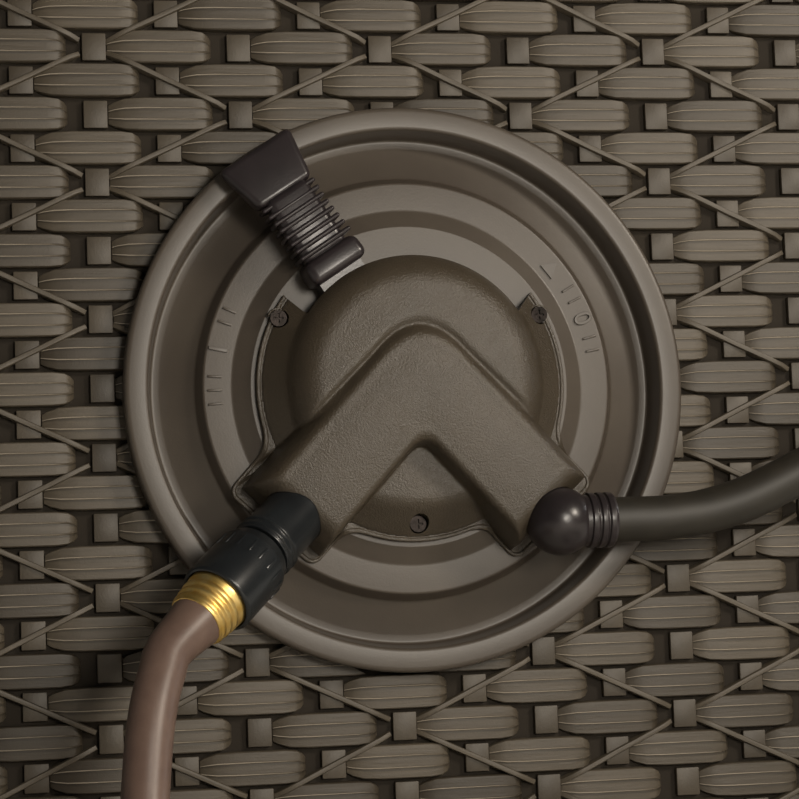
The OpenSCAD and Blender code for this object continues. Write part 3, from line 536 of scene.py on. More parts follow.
# Acetal as it comes, for gears, rollers and such: milky and smooth.
PALE_PLASTIC = moulded("acetal_natural", "#B9B5A8", "#C8C4B7", 0.4, [(0.0015, 0.0001, 0.3)])
# Moulded nitrile: black and dull.
RUBBER = moulded("nitrile_rubber", "#141414", "#1C1B1B", 0.7, [(0.001, 0.0001, 0.4)])
# PVC garden hose, extruded: smooth along its length, slightly mottled by handling.
BROWN_HOSE = moulded(
    "pvc_hose_brown", "#5C4A42", "#6A574D", 0.4, [(0.0016, 0.00018, 0.3)], patch=0.012
)
# The same in a harder, darker mix: dull and even.
OLIVE_HOSE = moulded(
    "pvc_hose_olive", "#211E18", "#29251E", 0.52, [(0.004, 0.0003, 0.15)], patch=0.012
)
# Turned brass, lightly tarnished between the rings.
BRASS = metal("turned_brass", "#F0C567", "#FBDF98", 0.38, 0.006, 0.0001)
# Zinc-plated steel: an even grey with a soft shine.
STEEL = metal("zinc_plated_steel", "#A8A8A6", "#C0C0BE", 0.32, 0.01, 0.00005)
# Steel screws, blackened in hot salts: nearly black, with a tight glint.
DARK_SCREW = metal("blackened_steel", "#0B0A09", "#171413", 0.26, 0.004, 0.0001)
# Aluminium, turned and anodised clear: a slightly softer shine than the steel's.
ALUMINIUM = metal("anodised_aluminium", "#9A9A98", "#B2B2B0", 0.35, 0.01, 0.00005)


# Woven walls: slats over every other stake, drawn once in millimetres and copied.

PITCH, ROW = 36, 17  # from stake to stake and from row to row
# The plate behind the weave: its front from the crest, its wall, and how far it runs on
# under the dish past the weave's edge.
PLATE_FRONT, PLATE_WALL, PLATE_UNDER = -5.5, 4, 9
WEAVE_FOOT = -6.2  # where the strips' edges end, inside that plate
SLAT_ENDS = (-29.6, 20)  # from the stake's middle to where a slat dips behind its neighbours
SLAT_HALF = 8  # half of a slat's width

# Along a slat from its stake's middle: place, height from the crest, share of the full width.
SLAT_COLUMNS = [
    (-29.6, -3.8, 0.58),
    (-26.8, -2.3, 0.76),
    (-21.5, -0.9, 0.95),
    (-12, -0.1, 1),
    (12, -0.1, 1),
    (17.6, -0.8, 0.93),
    (20.6, -2.2, 0.74),
    (22.2, -4.4, 0.52),
]
# Across a slat: place and height, with the two fine ridges between its three reeds.
SLAT_ROWS = [
    (-8.4, -2.4),
    (-8.2, -0.6),
    (-7.7, -0.1),
    (-3.4, 0),
    (-2.9, 0.45),
    (-2.4, 0),
    (2.4, 0),
    (2.9, 0.45),
    (3.4, 0),
    (7.7, -0.1),
    (8.2, -0.6),
    (8.4, -2.4),
]
# Along a strand, from one crossing to the next: share of its length and height from the crest.
STRAND_STEPS = [
    (0.08, -3.6),
    (0.12, -1.6),
    (0.18, 0.1),
    (0.25, 0.7),
    (0.36, 0.3),
    (0.5, -0.2),
    (0.64, 0.3),
    (0.75, 0.7),
    (0.84, 0.1),
    (0.9, -2.6),
]
STRAND_ROWS = [(-1.4, -0.8), (-1.0, 0), (0, 0.15), (1.0, 0), (1.4, -0.8)]
STRAND_LEN = 79.62  # from one crossing to the next
STRAND_TIP = 0.41  # where a strand's seen part ends, as a share of its length from its middle
STRAND_LEAN = math.degrees(math.atan2(2 * ROW, 2 * PITCH))
FAR_OFF = 1000  # a column being shaped is kept this far from those that wait


def strip_master(name, columns, rows):
    """A strip made of a grid: each column goes to its place, width and height. Closed below."""
    clear()
    bpy.ops.mesh.primitive_grid_add(
        x_subdivisions=len(columns) - 1, y_subdivisions=len(rows) - 1, size=1, calc_uvs=True
    )
    piece = bpy.context.object
    piece.name = name
    for i, (x, height, share) in enumerate(columns):
        old = -0.5 + i / (len(columns) - 1)
        edit(piece)
        select_verts(piece, lambda co: abs(co.x - old) < 1e-4 and co.z > -0.5)
        bpy.ops.transform.translate(value=(FAR_OFF + x - old, 0, height))
        for j, (y, rise) in enumerate(rows):
            was = -0.5 + j / (len(rows) - 1)
            select_verts(
                piece, lambda co: abs(co.x - FAR_OFF - x) < 1e-3 and abs(co.y - was) < 1e-4
            )
            bpy.ops.transform.translate(value=(0, FAR_OFF + y * share - was, rise))
    edit(piece)
    bpy.ops.transform.translate(value=(-FAR_OFF, -FAR_OFF, 0))
    bpy.ops.mesh.select_all(action="SELECT")
    bpy.ops.mesh.region_to_loop()
    bpy.ops.mesh.extrude_region_move(TRANSFORM_OT_translate={"value": (0, 0, -1)})
    bpy.ops.transform.resize(value=(1, 1, 0), center_override=(0, 0, WEAVE_FOOT))
    bpy.ops.mesh.edge_face_add()
    bpy.ops.mesh.select_all(action="SELECT")
    bpy.ops.mesh.normals_make_consistent(inside=False)
    clear()
    piece.data.attributes.new("strip", "FLOAT", "POINT")
    return piece


def toned(piece, value):
    """Gives every point of a strip the same tone value."""
    data = piece.data.attributes["strip"].data
    data.foreach_set("value", [value] * len(data))
    return piece


SLAT = strip_master("slat", SLAT_COLUMNS, SLAT_ROWS)
STRAND = strip_master(
    "strand",
    [(share * STRAND_LEN - STRAND_LEN / 2, height, 1) for share, height in STRAND_STEPS],
    STRAND_ROWS,
)
STAKE = block("stake", (11.8, 13.8, 4.6), (0, 0, -4.5), bevel=0.5, segments=2)
STAKE.data.attributes.new("strip", "FLOAT", "POINT")
for piece in (STRAND, STAKE):  # their UV is kept clear of the slats' lines
    for loop in piece.data.uv_layers.active.data:
        loop.uv = (loop.uv.x, 0.8 + 0.15 * loop.uv.y)


def trimmed(piece, centre, way, radius):
    """Takes off what lies nearer to a centre than a radius, square to one direction."""
    edge = Vector(centre) + way * radius
    cut_away(piece, (*edge, 0), (*-way, 0))


def woven_wall(name, node, size, place, shift=0.0, hole=0.0, centre=(0, 0)):
    """A woven wall: x along it, y up from its foot, z out.

    shift moves the weave sideways. hole is the radius that is kept free about centre.
    """
    width, height = size
    half = width / 2
    columns = int(width / PITCH / 2) * 2
    rows = int(height / ROW)

    def crossing(i, j):
        """Where a stake's middle meets a row's."""
        return (i - columns / 2) * PITCH + shift, (j + 0.5) * ROW

    # The plate's edge round the hole is hidden behind the dish. What the weave would show in the
    # hole is left out, and what crosses its edge is cut.
    plate = block(
        "plate",
        (width, height, PLATE_WALL),
        (0, height / 2, PLATE_FRONT - PLATE_WALL / 2),
        bevel=0,
    )
    if hole:
        opening = turned("opening", [(hole - PLATE_UNDER, -20), (hole - PLATE_UNDER, 20)], 128)
        opening.data.transform(Matrix.Translation((*centre, 0)))
        drilled(plate, opening)

    parts = []
    for i in range(1, columns):
        for j in range(rows):
            x, y = crossing(i, j)
            if hole and math.hypot(x - centre[0], y - centre[1]) < hole + 4:
                continue
            if (i + j) % 2:
                stake = copied(STAKE, Matrix.Translation((x, y, 0)))
                parts.append(toned(stake, 0.2 + 0.5 * dice.random()))

    for j in range(rows):
        for i in range(j % 2, columns + 1, 2):
            x, y = crossing(i, j)
            ends = [Vector((x + end - centre[0], y - centre[1])) for end in SLAT_ENDS]
            if hole and max(end.length for end in ends) < hole + 1:
                continue
            slat = toned(copied(SLAT, Matrix.Translation((x, y, 0))), dice.random())
            beside = (
                abs(y - centre[1]) < hole + SLAT_HALF
                and x + SLAT_ENDS[0] < centre[0] + hole
                and x + SLAT_ENDS[1] > centre[0] - hole
            )
            if hole and beside:
                way = max(ends, key=lambda end: end.length).normalized()
                if min(end.dot(way) - hole for end in ends) < 9:
                    trimmed(slat, centre, way, hole)
            if x + SLAT_ENDS[0] < -half:
                cut_away(slat, (-half, 0, 0), (-1, 0, 0))
            if x + SLAT_ENDS[1] > half:
                cut_away(slat, (half, 0, 0), (1, 0, 0))
            parts.append(slat)

    # Strands rise and fall over two stakes and two rows, from every other of those crossings.
    for a in range(-1 - columns // 4, columns // 2 + 1 - columns // 4):
        for b in range(-1 - rows // 4, rows // 2 + 1 - rows // 4):
            if (a + b) % 2 == 0:
                continue
            x, y = crossing(columns // 2 + 2 * a, rows // 2 + 2 * b)
            for up in (-1, 1):
                mid = Vector((x + PITCH, y + up * ROW))
                half_way = Vector((STRAND_TIP * (2 * PITCH), STRAND_TIP * up * (2 * ROW)))
                tips = [mid - half_way, mid + half_way]
                if any(abs(tip.x) > half or not 0 < tip.y < height for tip in tips):
                    continue
                spans = [tip - Vector(centre) for tip in tips]
                if hole and all(reach.length < hole + 4 for reach in spans):
                    continue
                turn = Matrix.Rotation(math.radians(up * STRAND_LEAN), 4, "Z")
                strand = copied(STRAND, Matrix.Translation((*mid, 0)) @ turn)
                toned(strand, 0.75 + 0.25 * dice.random())
                if hole and any(reach.length < hole + 3 for reach in spans):
                    way = max(spans, key=lambda reach: reach.length).normalized()
                    trimmed(strand, centre, way, hole + 2)
                parts.append(strand)

    weave = joined(name, parts)
    for piece, finish in ((plate, SHADED_WICKER_BACK), (weave, WICKER)):
        piece.data.materials.clear()
        piece.data.materials.append(finish)
        settle(piece, place @ Matrix.Scale(MM, 4))
    smooth(weave, 38)
    wall = joined(name, [weave, plate])
    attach(wall, "cabinet")
    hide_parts(node)


def wall_place(turn, out, foot):
    """Stands a flat wall on the side that faces the given turn about Z."""
    return (
        Matrix.Rotation(math.radians(turn), 4, "Z")
        @ Matrix.Translation((0, -out, foot))
        @ Matrix.Rotation(math.radians(90), 4, "X")
    )


# Where the walls stand in metres, and their widths and heights in millimetres.
FOOT, OVER_WINDOW = 0.035, 0.392
SIDE_OUT, END_OUT = -WALL_Y, 0.29
SIDE, END = (504, 476), (432, 476)
UNDER_WINDOW_HIGH, OVER_WINDOW_HIGH = 255, 119
HOLE_R = 135  # what the weave leaves free for the dish
WEAVE_SHIFT = -5.4  # brings the valve's weave in line with the dish as in the real one

woven_wall(
    "valve_wall",
    "control_panel",
    SIDE,
    wall_place(0, SIDE_OUT, FOOT),
    WEAVE_SHIFT,
    HOLE_R,
    (0, round((DISH_Z - FOOT) / MM)),
)
woven_wall("far_wall", "far_panel", SIDE, wall_place(180, SIDE_OUT, FOOT))
woven_wall("rear_wall", "rear_panel", END, wall_place(270, END_OUT, FOOT))
low, high = (END[0], UNDER_WINDOW_HIGH), (END[0], OVER_WINDOW_HIGH)
woven_wall("low_wall", "front_lower_panel", low, wall_place(90, END_OUT, FOOT))
woven_wall("high_wall", "front_upper_panel", high, wall_place(90, END_OUT, OVER_WINDOW))


# The valve's dish, one moulding. Its corners run out over the deck, the sloping shoulder, the
# ring, the cone, the groove and the rim, and back behind them.
dish = turned(
    "dish",
    [
        (25, DECK),
        (79, DECK, 1.0),
        (87.6, 12.1, 3.0),
        (101.8, 12, 1.6),
        (105.2, 4.2, 2.5),
        (122, -1.5, 4),
        (126.4, -1.9, 1.6),
        (128.4, 14, 2.2),
        (140, 14, 2.8),
        (140, 0.2),
        (137.5, 0.2),
        (137.5, 11.5),
        (131, 11.5),
        (127, -4.2),
        (120, -4.4),
        (101, 1.6),
        (89, 7.4),
        (80, 7.8),
        (77.5, 14.6),
        (25, 14.6),
    ],
    sides=192,
    ends="loop",
)
settle(dish, DISH)
finished(smooth(dish, 30), "cabinet", BEZEL, "valve_dish")


# Plain dial marks on the ring: 1 and 0, each between ticks, and a small triangle.
MARKS_OUT = 12.3  # the marks' middle, just over the ring's front


def on_ring(piece, angle, radius):
    """Stands a mark on the ring with its foot to the centre; the angle runs from the right."""
    turn = Matrix.Rotation(math.radians(angle - 90), 4, "Z")
    return settle(piece, DISH @ turn @ Matrix.Translation((0, radius, MARKS_OUT)))


def numeral(sign):
    """A raised numeral as a mesh."""
    clear()
    bpy.ops.object.text_add()
    piece = bpy.context.object
    piece.data.body = sign
    piece.data.size = 13
    piece.data.extrude = 0.8
    piece.data.bevel_depth = 0.15
    piece.data.align_x = "CENTER"
    piece.data.align_y = "CENTER"
    bpy.ops.object.convert(target="MESH")
    return bpy.context.object


marks = []
for sign, angle in (("1", 168), ("0", 20)):
    marks.append(on_ring(numeral(sign), angle, 95.5))
for angle in (156, 160, 176, 180, 184, 10, 14, 26, 30):
    marks.append(on_ring(block("tick", (1.1, 7, 1.6), bevel=0.25, segments=2), angle, 96))
clear()
bpy.ops.mesh.primitive_cylinder_add(vertices=3, radius=5, depth=1.6)
marks.append(on_ring(bpy.context.object, 38, 94))
dial_marks = joined("dial_marks", marks)
outwards(dial_marks, 0.000005)
finished(smooth(dial_marks, 30), "cabinet", BEZEL)


# Valve cover, in the dish's frame: a dome and two pipe arms that run into each other with a
# moulder's rounds, on a thin plate with a raised lip. The top is a grid raised to these heights.
SUNK, NONE = 9.0, -200.0  # under the ring, and where a shape isn't there at all
PLATE, PLATE_R = 20.5, 76.6  # the plate's front, and its radius where there is no arm
# From an arm's line to where its top turns down above the pair, below it and at its end.
ARM_TOP, ARM_ABOVE, ARM_BELOW, ARM_END = 51.5, 17.4, 15.5, 80
# The dome: its middle's height, where its side starts, and where and how deep it ends.
DOME_TOP, DOME_FLAT, DOME_FOOT, DOME_DROP = 46.8, 46, 65, 25
SKIRT_R, SKIRT_RISE = 75, 0.85  # a slope from the plate's edge up to whatever stands on it
MOUND_TOP, MOUND_Y = 34.5, -44  # the low swelling between the arms
VALLEY_AT, VALLEY_WIDE, VALLEY_DEEP = 23.8, 1.7, 1.8  # the crease where the arms leave the dome
# From an arm's line to the plate's lip, above the pair, below it and at its end; the corners.
LIP_ABOVE, LIP_BELOW, LIP_END, LIP_ROUND = 26, 18, 95, 6


def soft_max(a, b, reach):
    """The larger of two heights, blended where they differ by less than reach."""
    t = max(reach - abs(a - b), 0) / reach
    return max(a, b) + t * t * reach / 4


def soft_min(a, b, reach):
    """The smaller of two heights, blended in the same way."""
    return -soft_max(-a, -b, reach)


def arm_reach(x, y):
    """Distance from the line of the nearer arm, above or below the pair, and along it."""
    c, sn = math.cos(math.radians(ARM_SLOPE)), math.sin(math.radians(ARM_SLOPE))
    rise = (y - APEX_Y) * c
    above = soft_max(rise + x * sn, rise - x * sn, 30)
    below = soft_min(-rise - x * sn, -rise + x * sn, 9)
    along = abs(x) * c - (y - APEX_Y) * sn
    return above, below, along


def flank(over, bend, wall, slope):
    """How far a moulded edge has dropped at a distance past its start.

    It starts with a round of radius bend. From the distance wall on, slope is added to it.
    """
    return max(over, 0) ** 2 / (2 * bend) + max(over - wall, 0) * slope


def arm_height(above, below, along):
    """Top of the pipe arms: slightly crowned, with flanks on both sides and at the end."""
    if above > below:
        side = flank(above - ARM_ABOVE, 3.2, 9, 7)
    else:
        side = flank(below - ARM_BELOW, 2.2, 4, 7)
    crown = 0.004 * min(max(above, below), 15) ** 2
    top = ARM_TOP - crown - 0.00045 * max(along, 0) ** 2
    return top - soft_max(side, flank(along - ARM_END, 6, 13, 6), 5)


def dome_height(r):
    """Top of the dome: slightly crowned, with a round shoulder that ends in a wall."""
    u = max(r - DOME_FLAT, 0) / (DOME_FOOT - DOME_FLAT)
    drop = DOME_DROP * (1 - (1 - u**2.2) ** 0.5) if u < 1 else DOME_DROP + (r - DOME_FOOT) * 9
    return DOME_TOP - 0.0008 * r * r - drop


def cover_height(x, y):
    """Height of the cover's front at a place."""
    r = math.hypot(x, y)
    above, below, along = arm_reach(x, y)
    dome = dome_height(r) if below < 10 else NONE
    skirt = PLATE - 0.4 + SKIRT_RISE * (SKIRT_R - r) if r < SKIRT_R else NONE
    floor = NONE
    if below > 0:
        floor = soft_min(MOUND_TOP - 0.002 * (x * x + (y - MOUND_Y) ** 2), skirt, 3)
    from_valley = abs(above - VALLEY_AT - 0.05 * max(along - 8, 0))
    valley = VALLEY_DEEP * math.exp(-((from_valley / VALLEY_WIDE) ** 1.6))
    valley *= min(max((62 - r) / 12, 0), 1)
    top = soft_max(arm_height(above, below, along), dome, 1.5) - valley
    if below < 0 and r > 58:
        top = soft_max(top, skirt, 2.0)
    return max(soft_max(top, floor, 3.0), SUNK)


def cover_blank():
    """The raised grid, rid of what lies outside the cover, and closed below."""
    step, left, right, low, high = 0.7, -104, 104, -100, 70
    clear()
    bpy.ops.mesh.primitive_grid_add(
        x_subdivisions=int((right - left) / step), y_subdivisions=int((high - low) / step), size=2
    )
    piece = bpy.context.object
    for vert in piece.data.vertices:
        x = (left + right) / 2 + vert.co.x * (right - left) / 2
        y = (low + high) / 2 + vert.co.y * (high - low) / 2
        vert.co = (x, y, cover_height(x, y))
    edit(piece)
    select_verts(piece, lambda co: co.z < SUNK + 0.01)
    bpy.ops.mesh.delete(type="VERT")
    bpy.ops.mesh.select_all(action="SELECT")
    bpy.ops.mesh.region_to_loop()
    bpy.ops.mesh.extrude_region_move(TRANSFORM_OT_translate={"value": (0, 0, -1)})
    bpy.ops.transform.resize(value=(1, 1, 0), center_override=(0, 0, SUNK - 2))
    bpy.ops.mesh.edge_face_add()
    outwards(piece, 0.00001)
    return modify(piece, "SMOOTH", factor=0.5, iterations=2)


def plate_edge(angle):
    """Radius of the plate's outline in a direction, and how squarely that direction meets it."""
    way = Vector((math.cos(angle), math.sin(angle)))

    def outside(r):
        """Distance past the plate's outline at a radius, less than 0 within it."""
        x, y = way * r
        above, below, along = arm_reach(x, y)
        beside = max(above - LIP_ABOVE, below - LIP_BELOW, 0)
        arm = math.hypot(beside, max(along - LIP_END, 0)) - LIP_ROUND
        return soft_min(r - PLATE_R, arm, 9)

    near, far = 60.0, 112.0
    for _ in range(30):
        middle = (near + far) / 2
        near, far = (middle, far) if outside(middle) < 0 else (near, middle)
    return near, max(outside(near + 0.1) * 10, 0.3)


def cover_plate():
    """The plate under the dome and the arms, with its raised lip; it steps down past the deck."""
    corners = [(70, -8.5), (100, -8.5), (100, 0.5, 0.9), (98.5, 0.5, 0.5), (98.0, 0, 0.4), (70, 0)]
    piece = turned("cover_plate", corners, 540)
    for vert in piece.data.vertices:
        angle = math.atan2(vert.co.y, vert.co.x)
        edge, square = plate_edge(angle)
        r = edge - (100 - math.hypot(vert.co.x, vert.co.y)) / square
        r = max(r, 20)
        step = min(max((r - 78) / 9, 0), 1)
        lift = PLATE - 6 * step * step * (3 - 2 * step)
        vert.co = (r * math.cos(angle), r * math.sin(angle), lift + vert.co.z)
    return piece


def polar(r, angle):
    """A place by its radius and its angle from the right, in degrees."""
    return r * math.cos(math.radians(angle)), r * math.sin(math.radians(angle))


SCREWS = [(-65, 33.5), (65, 33.5), (0, -68)]
# The open sector that the lever swings in, from the centre round and back.
swing = [(0, 0), polar(63.8, 33.5), polar(77.2, 36.2)]
swing += [polar(120, angle) for angle in range(42, 140, 8)]
swing += [polar(77.2, 143.8), polar(63.8, 146.5)]
cover_parts = [cover_blank(), cover_plate()]
for part in cover_parts:
    drilled(part, slab("swing", swing, DECK - 6, 32))
    drilled(part, turned("hub_room", [(29.3, DECK - 6), (29.3, 32)], 96))
under = [(110, -30), (110, 12.05), (87.6, 12.25), (79.2, DECK), (20, DECK)]
drilled(cover_parts[0], turned("under", under, 120, "point"))
for x, y in SCREWS:
    well = turned("well", [(4.7, PLATE), (5.0, 60)], 40)
    well.data.transform(Matrix.Translation((x, y, 0)))
    drilled(cover_parts[0], well)
port_room = turned("port_room", [(15.2, -8), (15.2, 60)], 72)
port_room.data.transform(DISH.inverted() @ PORT)
drilled(cover_parts[0], port_room)
BALL_R, BALL_ROOM_R = 16.5, 16.9
BALL = [polar(BALL_R, angle) for angle in range(-85, 90, 5)]
ball_room = turned("ball_room", BALL, 72)
ball_room.data.transform(Matrix.Translation(ELBOW_AT) @ Matrix.Scale(BALL_ROOM_R / BALL_R, 4))
drilled(cover_parts[0], ball_room)
# A raised rib turns in from the lip past each upper screw.
for x, y in SCREWS[:2]:
    clear()
    bpy.ops.mesh.primitive_torus_add(
        major_segments=72, minor_segments=10, major_radius=4.9, minor_radius=0.55
    )
    rib = bpy.context.object
    edit(rib)
    select_verts(rib, lambda co: co.y < 1 or co.x * math.copysign(1, x) < -3.2)
    bpy.ops.mesh.delete(type="VERT")
    bpy.ops.mesh.select_all(action="SELECT")
    bpy.ops.mesh.fill_holes(sides=0)
    bpy.ops.mesh.select_all(action="SELECT")
    bpy.ops.transform.translate(value=(x, y, PLATE))
    clear()
    cover_parts.append(rib)
cover = settle(joined("cover", cover_parts), DISH)
finished(smooth(cover, 50), "cabinet", COVER, "valve_cover")


# Lever grip: a smooth block, a waisted run of ribs and a flared end.
grip_parts = [
    block(
        "grip_block",
        (31, 12.2, 22),
        (0, 71.1, 29),
        bevel=4,
        segments=5,
        far=(1, (0.97, 1, 1), (0, 0, -1)),
    ),
    block("grip_core", (24, 38, 13), (0, 94, 28), bevel=4, segments=4),
]
RIB_FOOT = 21
for i in range(8):
    wide = 29.4 - 0.45 * i + 0.09 * i * i
    top = 40.5 - 0.95 * i
    size, at = (wide, 2.3, top - RIB_FOOT), (0, 79.9 + 4.2 * i, (top + RIB_FOOT) / 2)
    grip_parts.append(block("rib", size, at, bevel=1.1, segments=3))
flare = block(
    "flare",
    (31, 27, 13),
    (0, 124.5, 26.6),
    bevel=3.4,
    segments=5,
    far=(1, (1.36, 1, 0.58), (0, 0, -2)),
)
grip_parts.append(flare)
for part in grip_parts:
    smooth(part, 40)
grip = settle(joined("grip", grip_parts), LEVER)
finished(grip, "lever", BLACK_SATIN, "lever_grip")


# Inlet: stub with its thread's seen turns, collar nut with notches, and the ringed brass end of
# the supply hose. Corners run up the outside and back down the bore.
stub_corners = [
    *[(7, -8), (15, -8), (15, 15.5, 0.6)],
    *[(15.9, 16.2, 0.4), (15.9, 18, 0.4), (15, 18.6, 0.4), (15, 20)],
    *[(15.9, 20.4, 0.4), (15.9, 22, 0.4), (15, 22.6, 0.4), (15, 24, 0.8)],
    *[(10, 24), (10, 42), (7, 42)],
]
stub = settle(turned("stub", stub_corners, 64, "loop"), PORT)
finished(smooth(stub, 35), "cabinet", BLACK_GLOSS, "inlet_stub")
nut_corners = [
    *[(10.3, 26), (15.6, 26, 1.2), (16.6, 31, 0.6), (18, 32, 0.8)],
    *[(18, 61, 1.6), (16, 62, 0.6), (15.9, 37), (10.3, 36)],
]
nut_body = turned("nut_body", nut_corners, 96, "loop")
notch = block("notch", (1.6, 1.6, 8), (17.6, 0, 37.5), bevel=0.5, segments=2)
nut = joined("nut", [nut_body, notch, *ring_of(notch, 18)])
settle(nut, PORT)
finished(smooth(nut, 35), "nut", BLACK_GLOSS, "inlet_nut")
rings = [(7.2, 47), (15.5, 47), (15.5, 61.5), (15.4, 63, 0.6)]
for i in range(3):
    z, r = 64.6 + 4.1 * i, 15.2 - 0.5 * i
    rings += [(r - 0.9, z, 0.5), (r - 0.9, z + 0.9, 0.5), (r, z + 1.5, 0.6), (r, z + 3.2, 0.6)]
rings += [(13.4, 76.8, 0.4), (13.2, 78, 0.8), (10.8, 78), (10.8, 66), (7.2, 65)]
ferrule = settle(turned("ferrule", rings, 96, "loop", 3), PORT)
finished(smooth(ferrule, 40), "cabinet", BRASS, "supply_ferrule")


# Drain: ball elbow at the end of the right arm, with a ringed cuff for the hose.
ball = turned("ball", BALL, 72)
neck = turned("neck", [(5, 0), (5, 22)], 48)
neck.data.transform(
    Matrix.Translation((0, 0, -9))
    @ Matrix.Rotation(math.radians(-ARM_SLOPE), 4, "Z")
    @ Matrix.Rotation(math.radians(-90), 4, "Y")
)
cuff_corners = [
    *[(12.4, 0), (12.4, 13), (13.4, 13.5, 0.5), (13.4, 16, 0.5)],
    *[(12.4, 16.6, 0.4), (12.4, 17.6, 0.4), (13.4, 18.1, 0.5), (13.4, 20.4, 0.5)],
    *[(12.4, 21, 0.4), (12.4, 21.8, 0.4), (13.4, 22.2, 0.5), (13.4, 24.6, 0.5)],
    *[(12.6, 26, 0.8), (11, 26)],
]
cuff = turned("cuff", cuff_corners, 72)
cuff.data.transform(Matrix.Rotation(math.radians(90), 4, "Y"))
elbow = settle(joined("elbow", [ball, neck, cuff]), ELBOW)
finished(smooth(elbow, 35), "cabinet", BLACK_SATIN, "drain_elbow")


# Hoses: the routes of the CAD model, in millimetres, drawn with more steps.


def curved(points, steps):
    """A smooth line through route points, with its own steps for each span."""
    points = [Vector(p) for p in points]
    ends = [2 * points[0] - points[1], *points, 2 * points[-1] - points[-2]]
    line = []
    for a, b, c, d in zip(ends, ends[1:], ends[2:], ends[3:]):
        square, cube = 2 * a - 5 * b + 4 * c - d, 3 * b - a - 3 * c + d
        for k in range(steps):
            t = k / steps
            line.append(0.5 * (2 * b + (c - a) * t + square * t**2 + cube * t**3))
    return [*line, points[-1]]


def coil(x, y, outer, step, turns, r, lift):
    """A flat coil wound clockwise from above, straight for a diameter at its end.

    x, y and outer place it, step is how much nearer each turn lies, r is the hose's radius, and
    lift is how far the last quarter rises over the turns beneath.
    """
    count = round(24 * turns)
    line = []
    for i in range(count + 1):
        a = math.radians(-360 * turns * i / count)
        q = outer - step * turns * i / count
        s = max(0, (i / count - 0.74) / 0.26)
        rise = lift * s * s * (3 - 2 * s)
        line.append(Vector((x + q * math.cos(a), y + q * math.sin(a), r + rise)))
    way = line[-1] - line[-2]
    way.z = 0
    return [*line, line[-1] + way.normalized() * 2 * r]


SWELL_LEN = 0.03  # a hose that is pushed over a fitting is wider for this far, in metres


def hose(
    name, run, wound, diameter, exit, finish, replaced, swell=0.0
):
    """A hose along a route and a coil, as one curve."""
    route = [exit, *curved(run, 2)[:-1], *wound]
    line = [point * MM for point in curved(route, 3)]
    clear()
    curve = bpy.data.curves.new(name, "CURVE")
    curve.dimensions = "3D"
    curve.bevel_depth = diameter / 2
    curve.bevel_resolution = 7
    curve.use_fill_caps = True
    spline = curve.splines.new("POLY")
    spline.points.add(len(line) - 1)
    for point, place in zip(spline.points, line):
        point.co = (*place, 1)
        point.radius = 1 + swell * max(0, 1 - (place - line[0]).length / SWELL_LEN) ** 2
    spline.use_smooth = True
    piece = bpy.data.objects.new(name, curve)
    bpy.context.scene.collection.objects.link(piece)
    curve.materials.append(finish)
    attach(piece, "cabinet")
    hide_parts(*replaced)


SUPPLY_WAY = Vector((-0.62525, -0.52992, -0.57293))
supply_exit = Vector((-114.77, -333.33, 167.31))
hose(
    "supply_hose",
    [
        supply_exit + 21 * SUPPLY_WAY,
        (-134.5, -354, 138),
        (-138.5, -361, 120),
        (-141, -367, 100),
        (-143.5, -375, 78),
        (-147, -388, 56),
        (-150, -407, 33),
        (-152, -437, 10.5),
    ],
    coil(-284, -479, 132, 24, 2, 10.5, 28),
    0.021,
    supply_exit,
    BROWN_HOSE,
    ["supply_hose_run", "supply_hose_coil"],
    swell=0.22,
)
drain_exit = Vector((92.21, -294, 208.75))
hose(
    "drain_hose",
    [
        drain_exit + Vector((22, 0, 0)),
        (137, -294, 211),
        (160, -295, 217),
        (181, -296, 226),
        (205, -298, 236),
        (240, -301, 242),
        (275, -304, 236),
        (306, -307, 218),
        (328, -309, 191),
        (340, -311, 158),
        (342, -313, 130),
        (341, -315, 105),
        (340, -321, 76),
        (338, -337, 47),
        (335, -361, 25),
        (332, -386, 14),
        (330, -403, 11),
    ],
    coil(202, -447, 128, 27, 1.4, 11, 0),
    0.022,
    drain_exit,
    OLIVE_HOSE,
    ["drain_hose_run", "drain_hose_coil"],
)


# Frame of the cabinet and its lid: copies of the CAD pieces with rounded edges.
SOFTENED = {
    "post_control_rear": 0.0012,
    "post_control_front": 0.0012,
    "post_far_front": 0.0012,
    "post_far_rear": 0.0012,
    "base_tray": 0.0015,
    "window_frame": 0.0015,
    "lid_hinge_brackets": 0.0006,
    "lid_shell": 0.0012,
}
for node, bevel in SOFTENED.items():
    finished(softened(node, bevel), "lid" if node == "lid_shell" else "cabinet", TRIM, node)

# The rest keeps its CAD shape and gets its finish.
FINISHES = {
    BLACK_MATT: [
        "valve_body",
        "motor_housing",
        "axle_bracket",
        "guide_carriage",
        "drum_hose_elbow",
        "axle_bush_front",
        "axle_bush_rear",
    ],
    BLACK_SATIN: ["lever_arm", "drum_core"],
    PALE_PLASTIC: [
        "turbine_wheel",
        "turbine_pinion",
        "middle_gear",
        "drum_gear",
        "guide_roller_left",
        "guide_roller_right",
    ],
    TRIM: ["drum_front_flange", "drum_rear_flange"],
    STEEL: ["valve_spindle", "lid_hinge_pins", "gear_post", "guide_rod_lower", "guide_rod_upper"],
    ALUMINIUM: ["drum_axle"],
    DARK_SCREW: ["cover_screws"],
    BRASS: ["tap_tail", "tap_coupling"],
    RUBBER: ["inlet_washer"],
}
for finish, names in FINISHES.items():
    for name in names:
        node = nodes[name]
        if not node.material_slots:
            node.data.materials.append(finish)
        for slot in node.material_slots:
            slot.material = finish

for master in (SLAT, STRAND, STAKE):
    bpy.data.objects.remove(master)


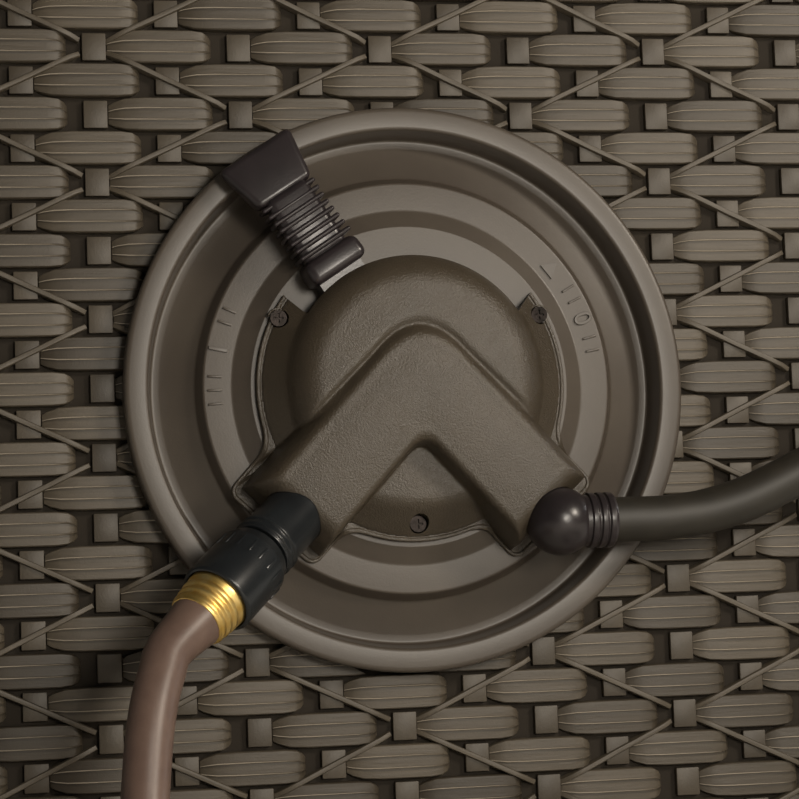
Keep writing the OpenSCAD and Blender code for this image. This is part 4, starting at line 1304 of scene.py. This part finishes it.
# Floor, light and camera.
clear()
bpy.ops.mesh.primitive_plane_add(size=8)
floor = bpy.context.object
floor.name = "floor"
floor.data.materials.append(started("plain_floor", 0.8, "#D8D4CC")[0])


def lamp(name, at, aim, size, power, tint="#FFFFFF"):
    """A rectangular lamp in watts that faces a place."""
    data = bpy.data.lights.new(name, "AREA")
    data.shape = "RECTANGLE"
    data.size, data.size_y = size
    data.energy = power
    data.color = colour(tint)[:3]
    light = bpy.data.objects.new(name, data)
    bpy.context.scene.collection.objects.link(light)
    light.location = at
    light.rotation_euler = (Vector(aim) - Vector(at)).to_track_quat("-Z", "Y").to_euler()


lamp("key", (1.0, -1.38, 0.85), (0, -0.25, 0.28), (0.3, 0.25), 12.5, "#FFF3E2")
lamp("fill", (0.24, -1.6, 0.4), (0, -0.25, 0.28), (0.3, 0.3), 8.5, "#FFF6E8")
# Behind the valve's wall, so that they light only the lid, the sides and the back.
lamp("top", (0.1, 0.7, 2.2), (0, 0.2, 0.4), (1.2, 0.9), 20)
lamp("back", (-1.2, 2.3, 1.1), (0, 0, 0.25), (1.2, 0.9), 24)
lamp("side", (2.3, 0.5, 0.9), (0, 0, 0.25), (0.9, 0.9), 22)
world = bpy.context.scene.world or bpy.data.worlds.new("studio")
bpy.context.scene.world = world
world.use_nodes = True
background = world.node_tree.nodes["Background"]
background.inputs["Color"].default_value = colour("#F4F3F0")
background.inputs["Strength"].default_value = 0.05

# The camera was solved from the outline of the dish's rim. It is rolled by two degrees.
CAMERA_AT, CAMERA_AIM, CAMERA_ROLL = (-0.2, -1.254, 0.178), (-0.036, -0.268, 0.26), -2
camera_data = bpy.data.cameras.new("camera")
camera_data.lens = 92.5
camera_data.shift_x, camera_data.shift_y = 0.0763, 0.0311
camera = bpy.data.objects.new("camera", camera_data)
bpy.context.scene.collection.objects.link(camera)
camera.location = CAMERA_AT
towards = (Vector(CAMERA_AIM) - camera.location).to_track_quat("-Z", "Y")
camera.rotation_mode = "QUATERNION"
camera.rotation_quaternion = towards @ Quaternion((0, 0, 1), math.radians(CAMERA_ROLL))
bpy.context.scene.camera = camera
bpy.context.scene.view_settings.view_transform = "Standard"
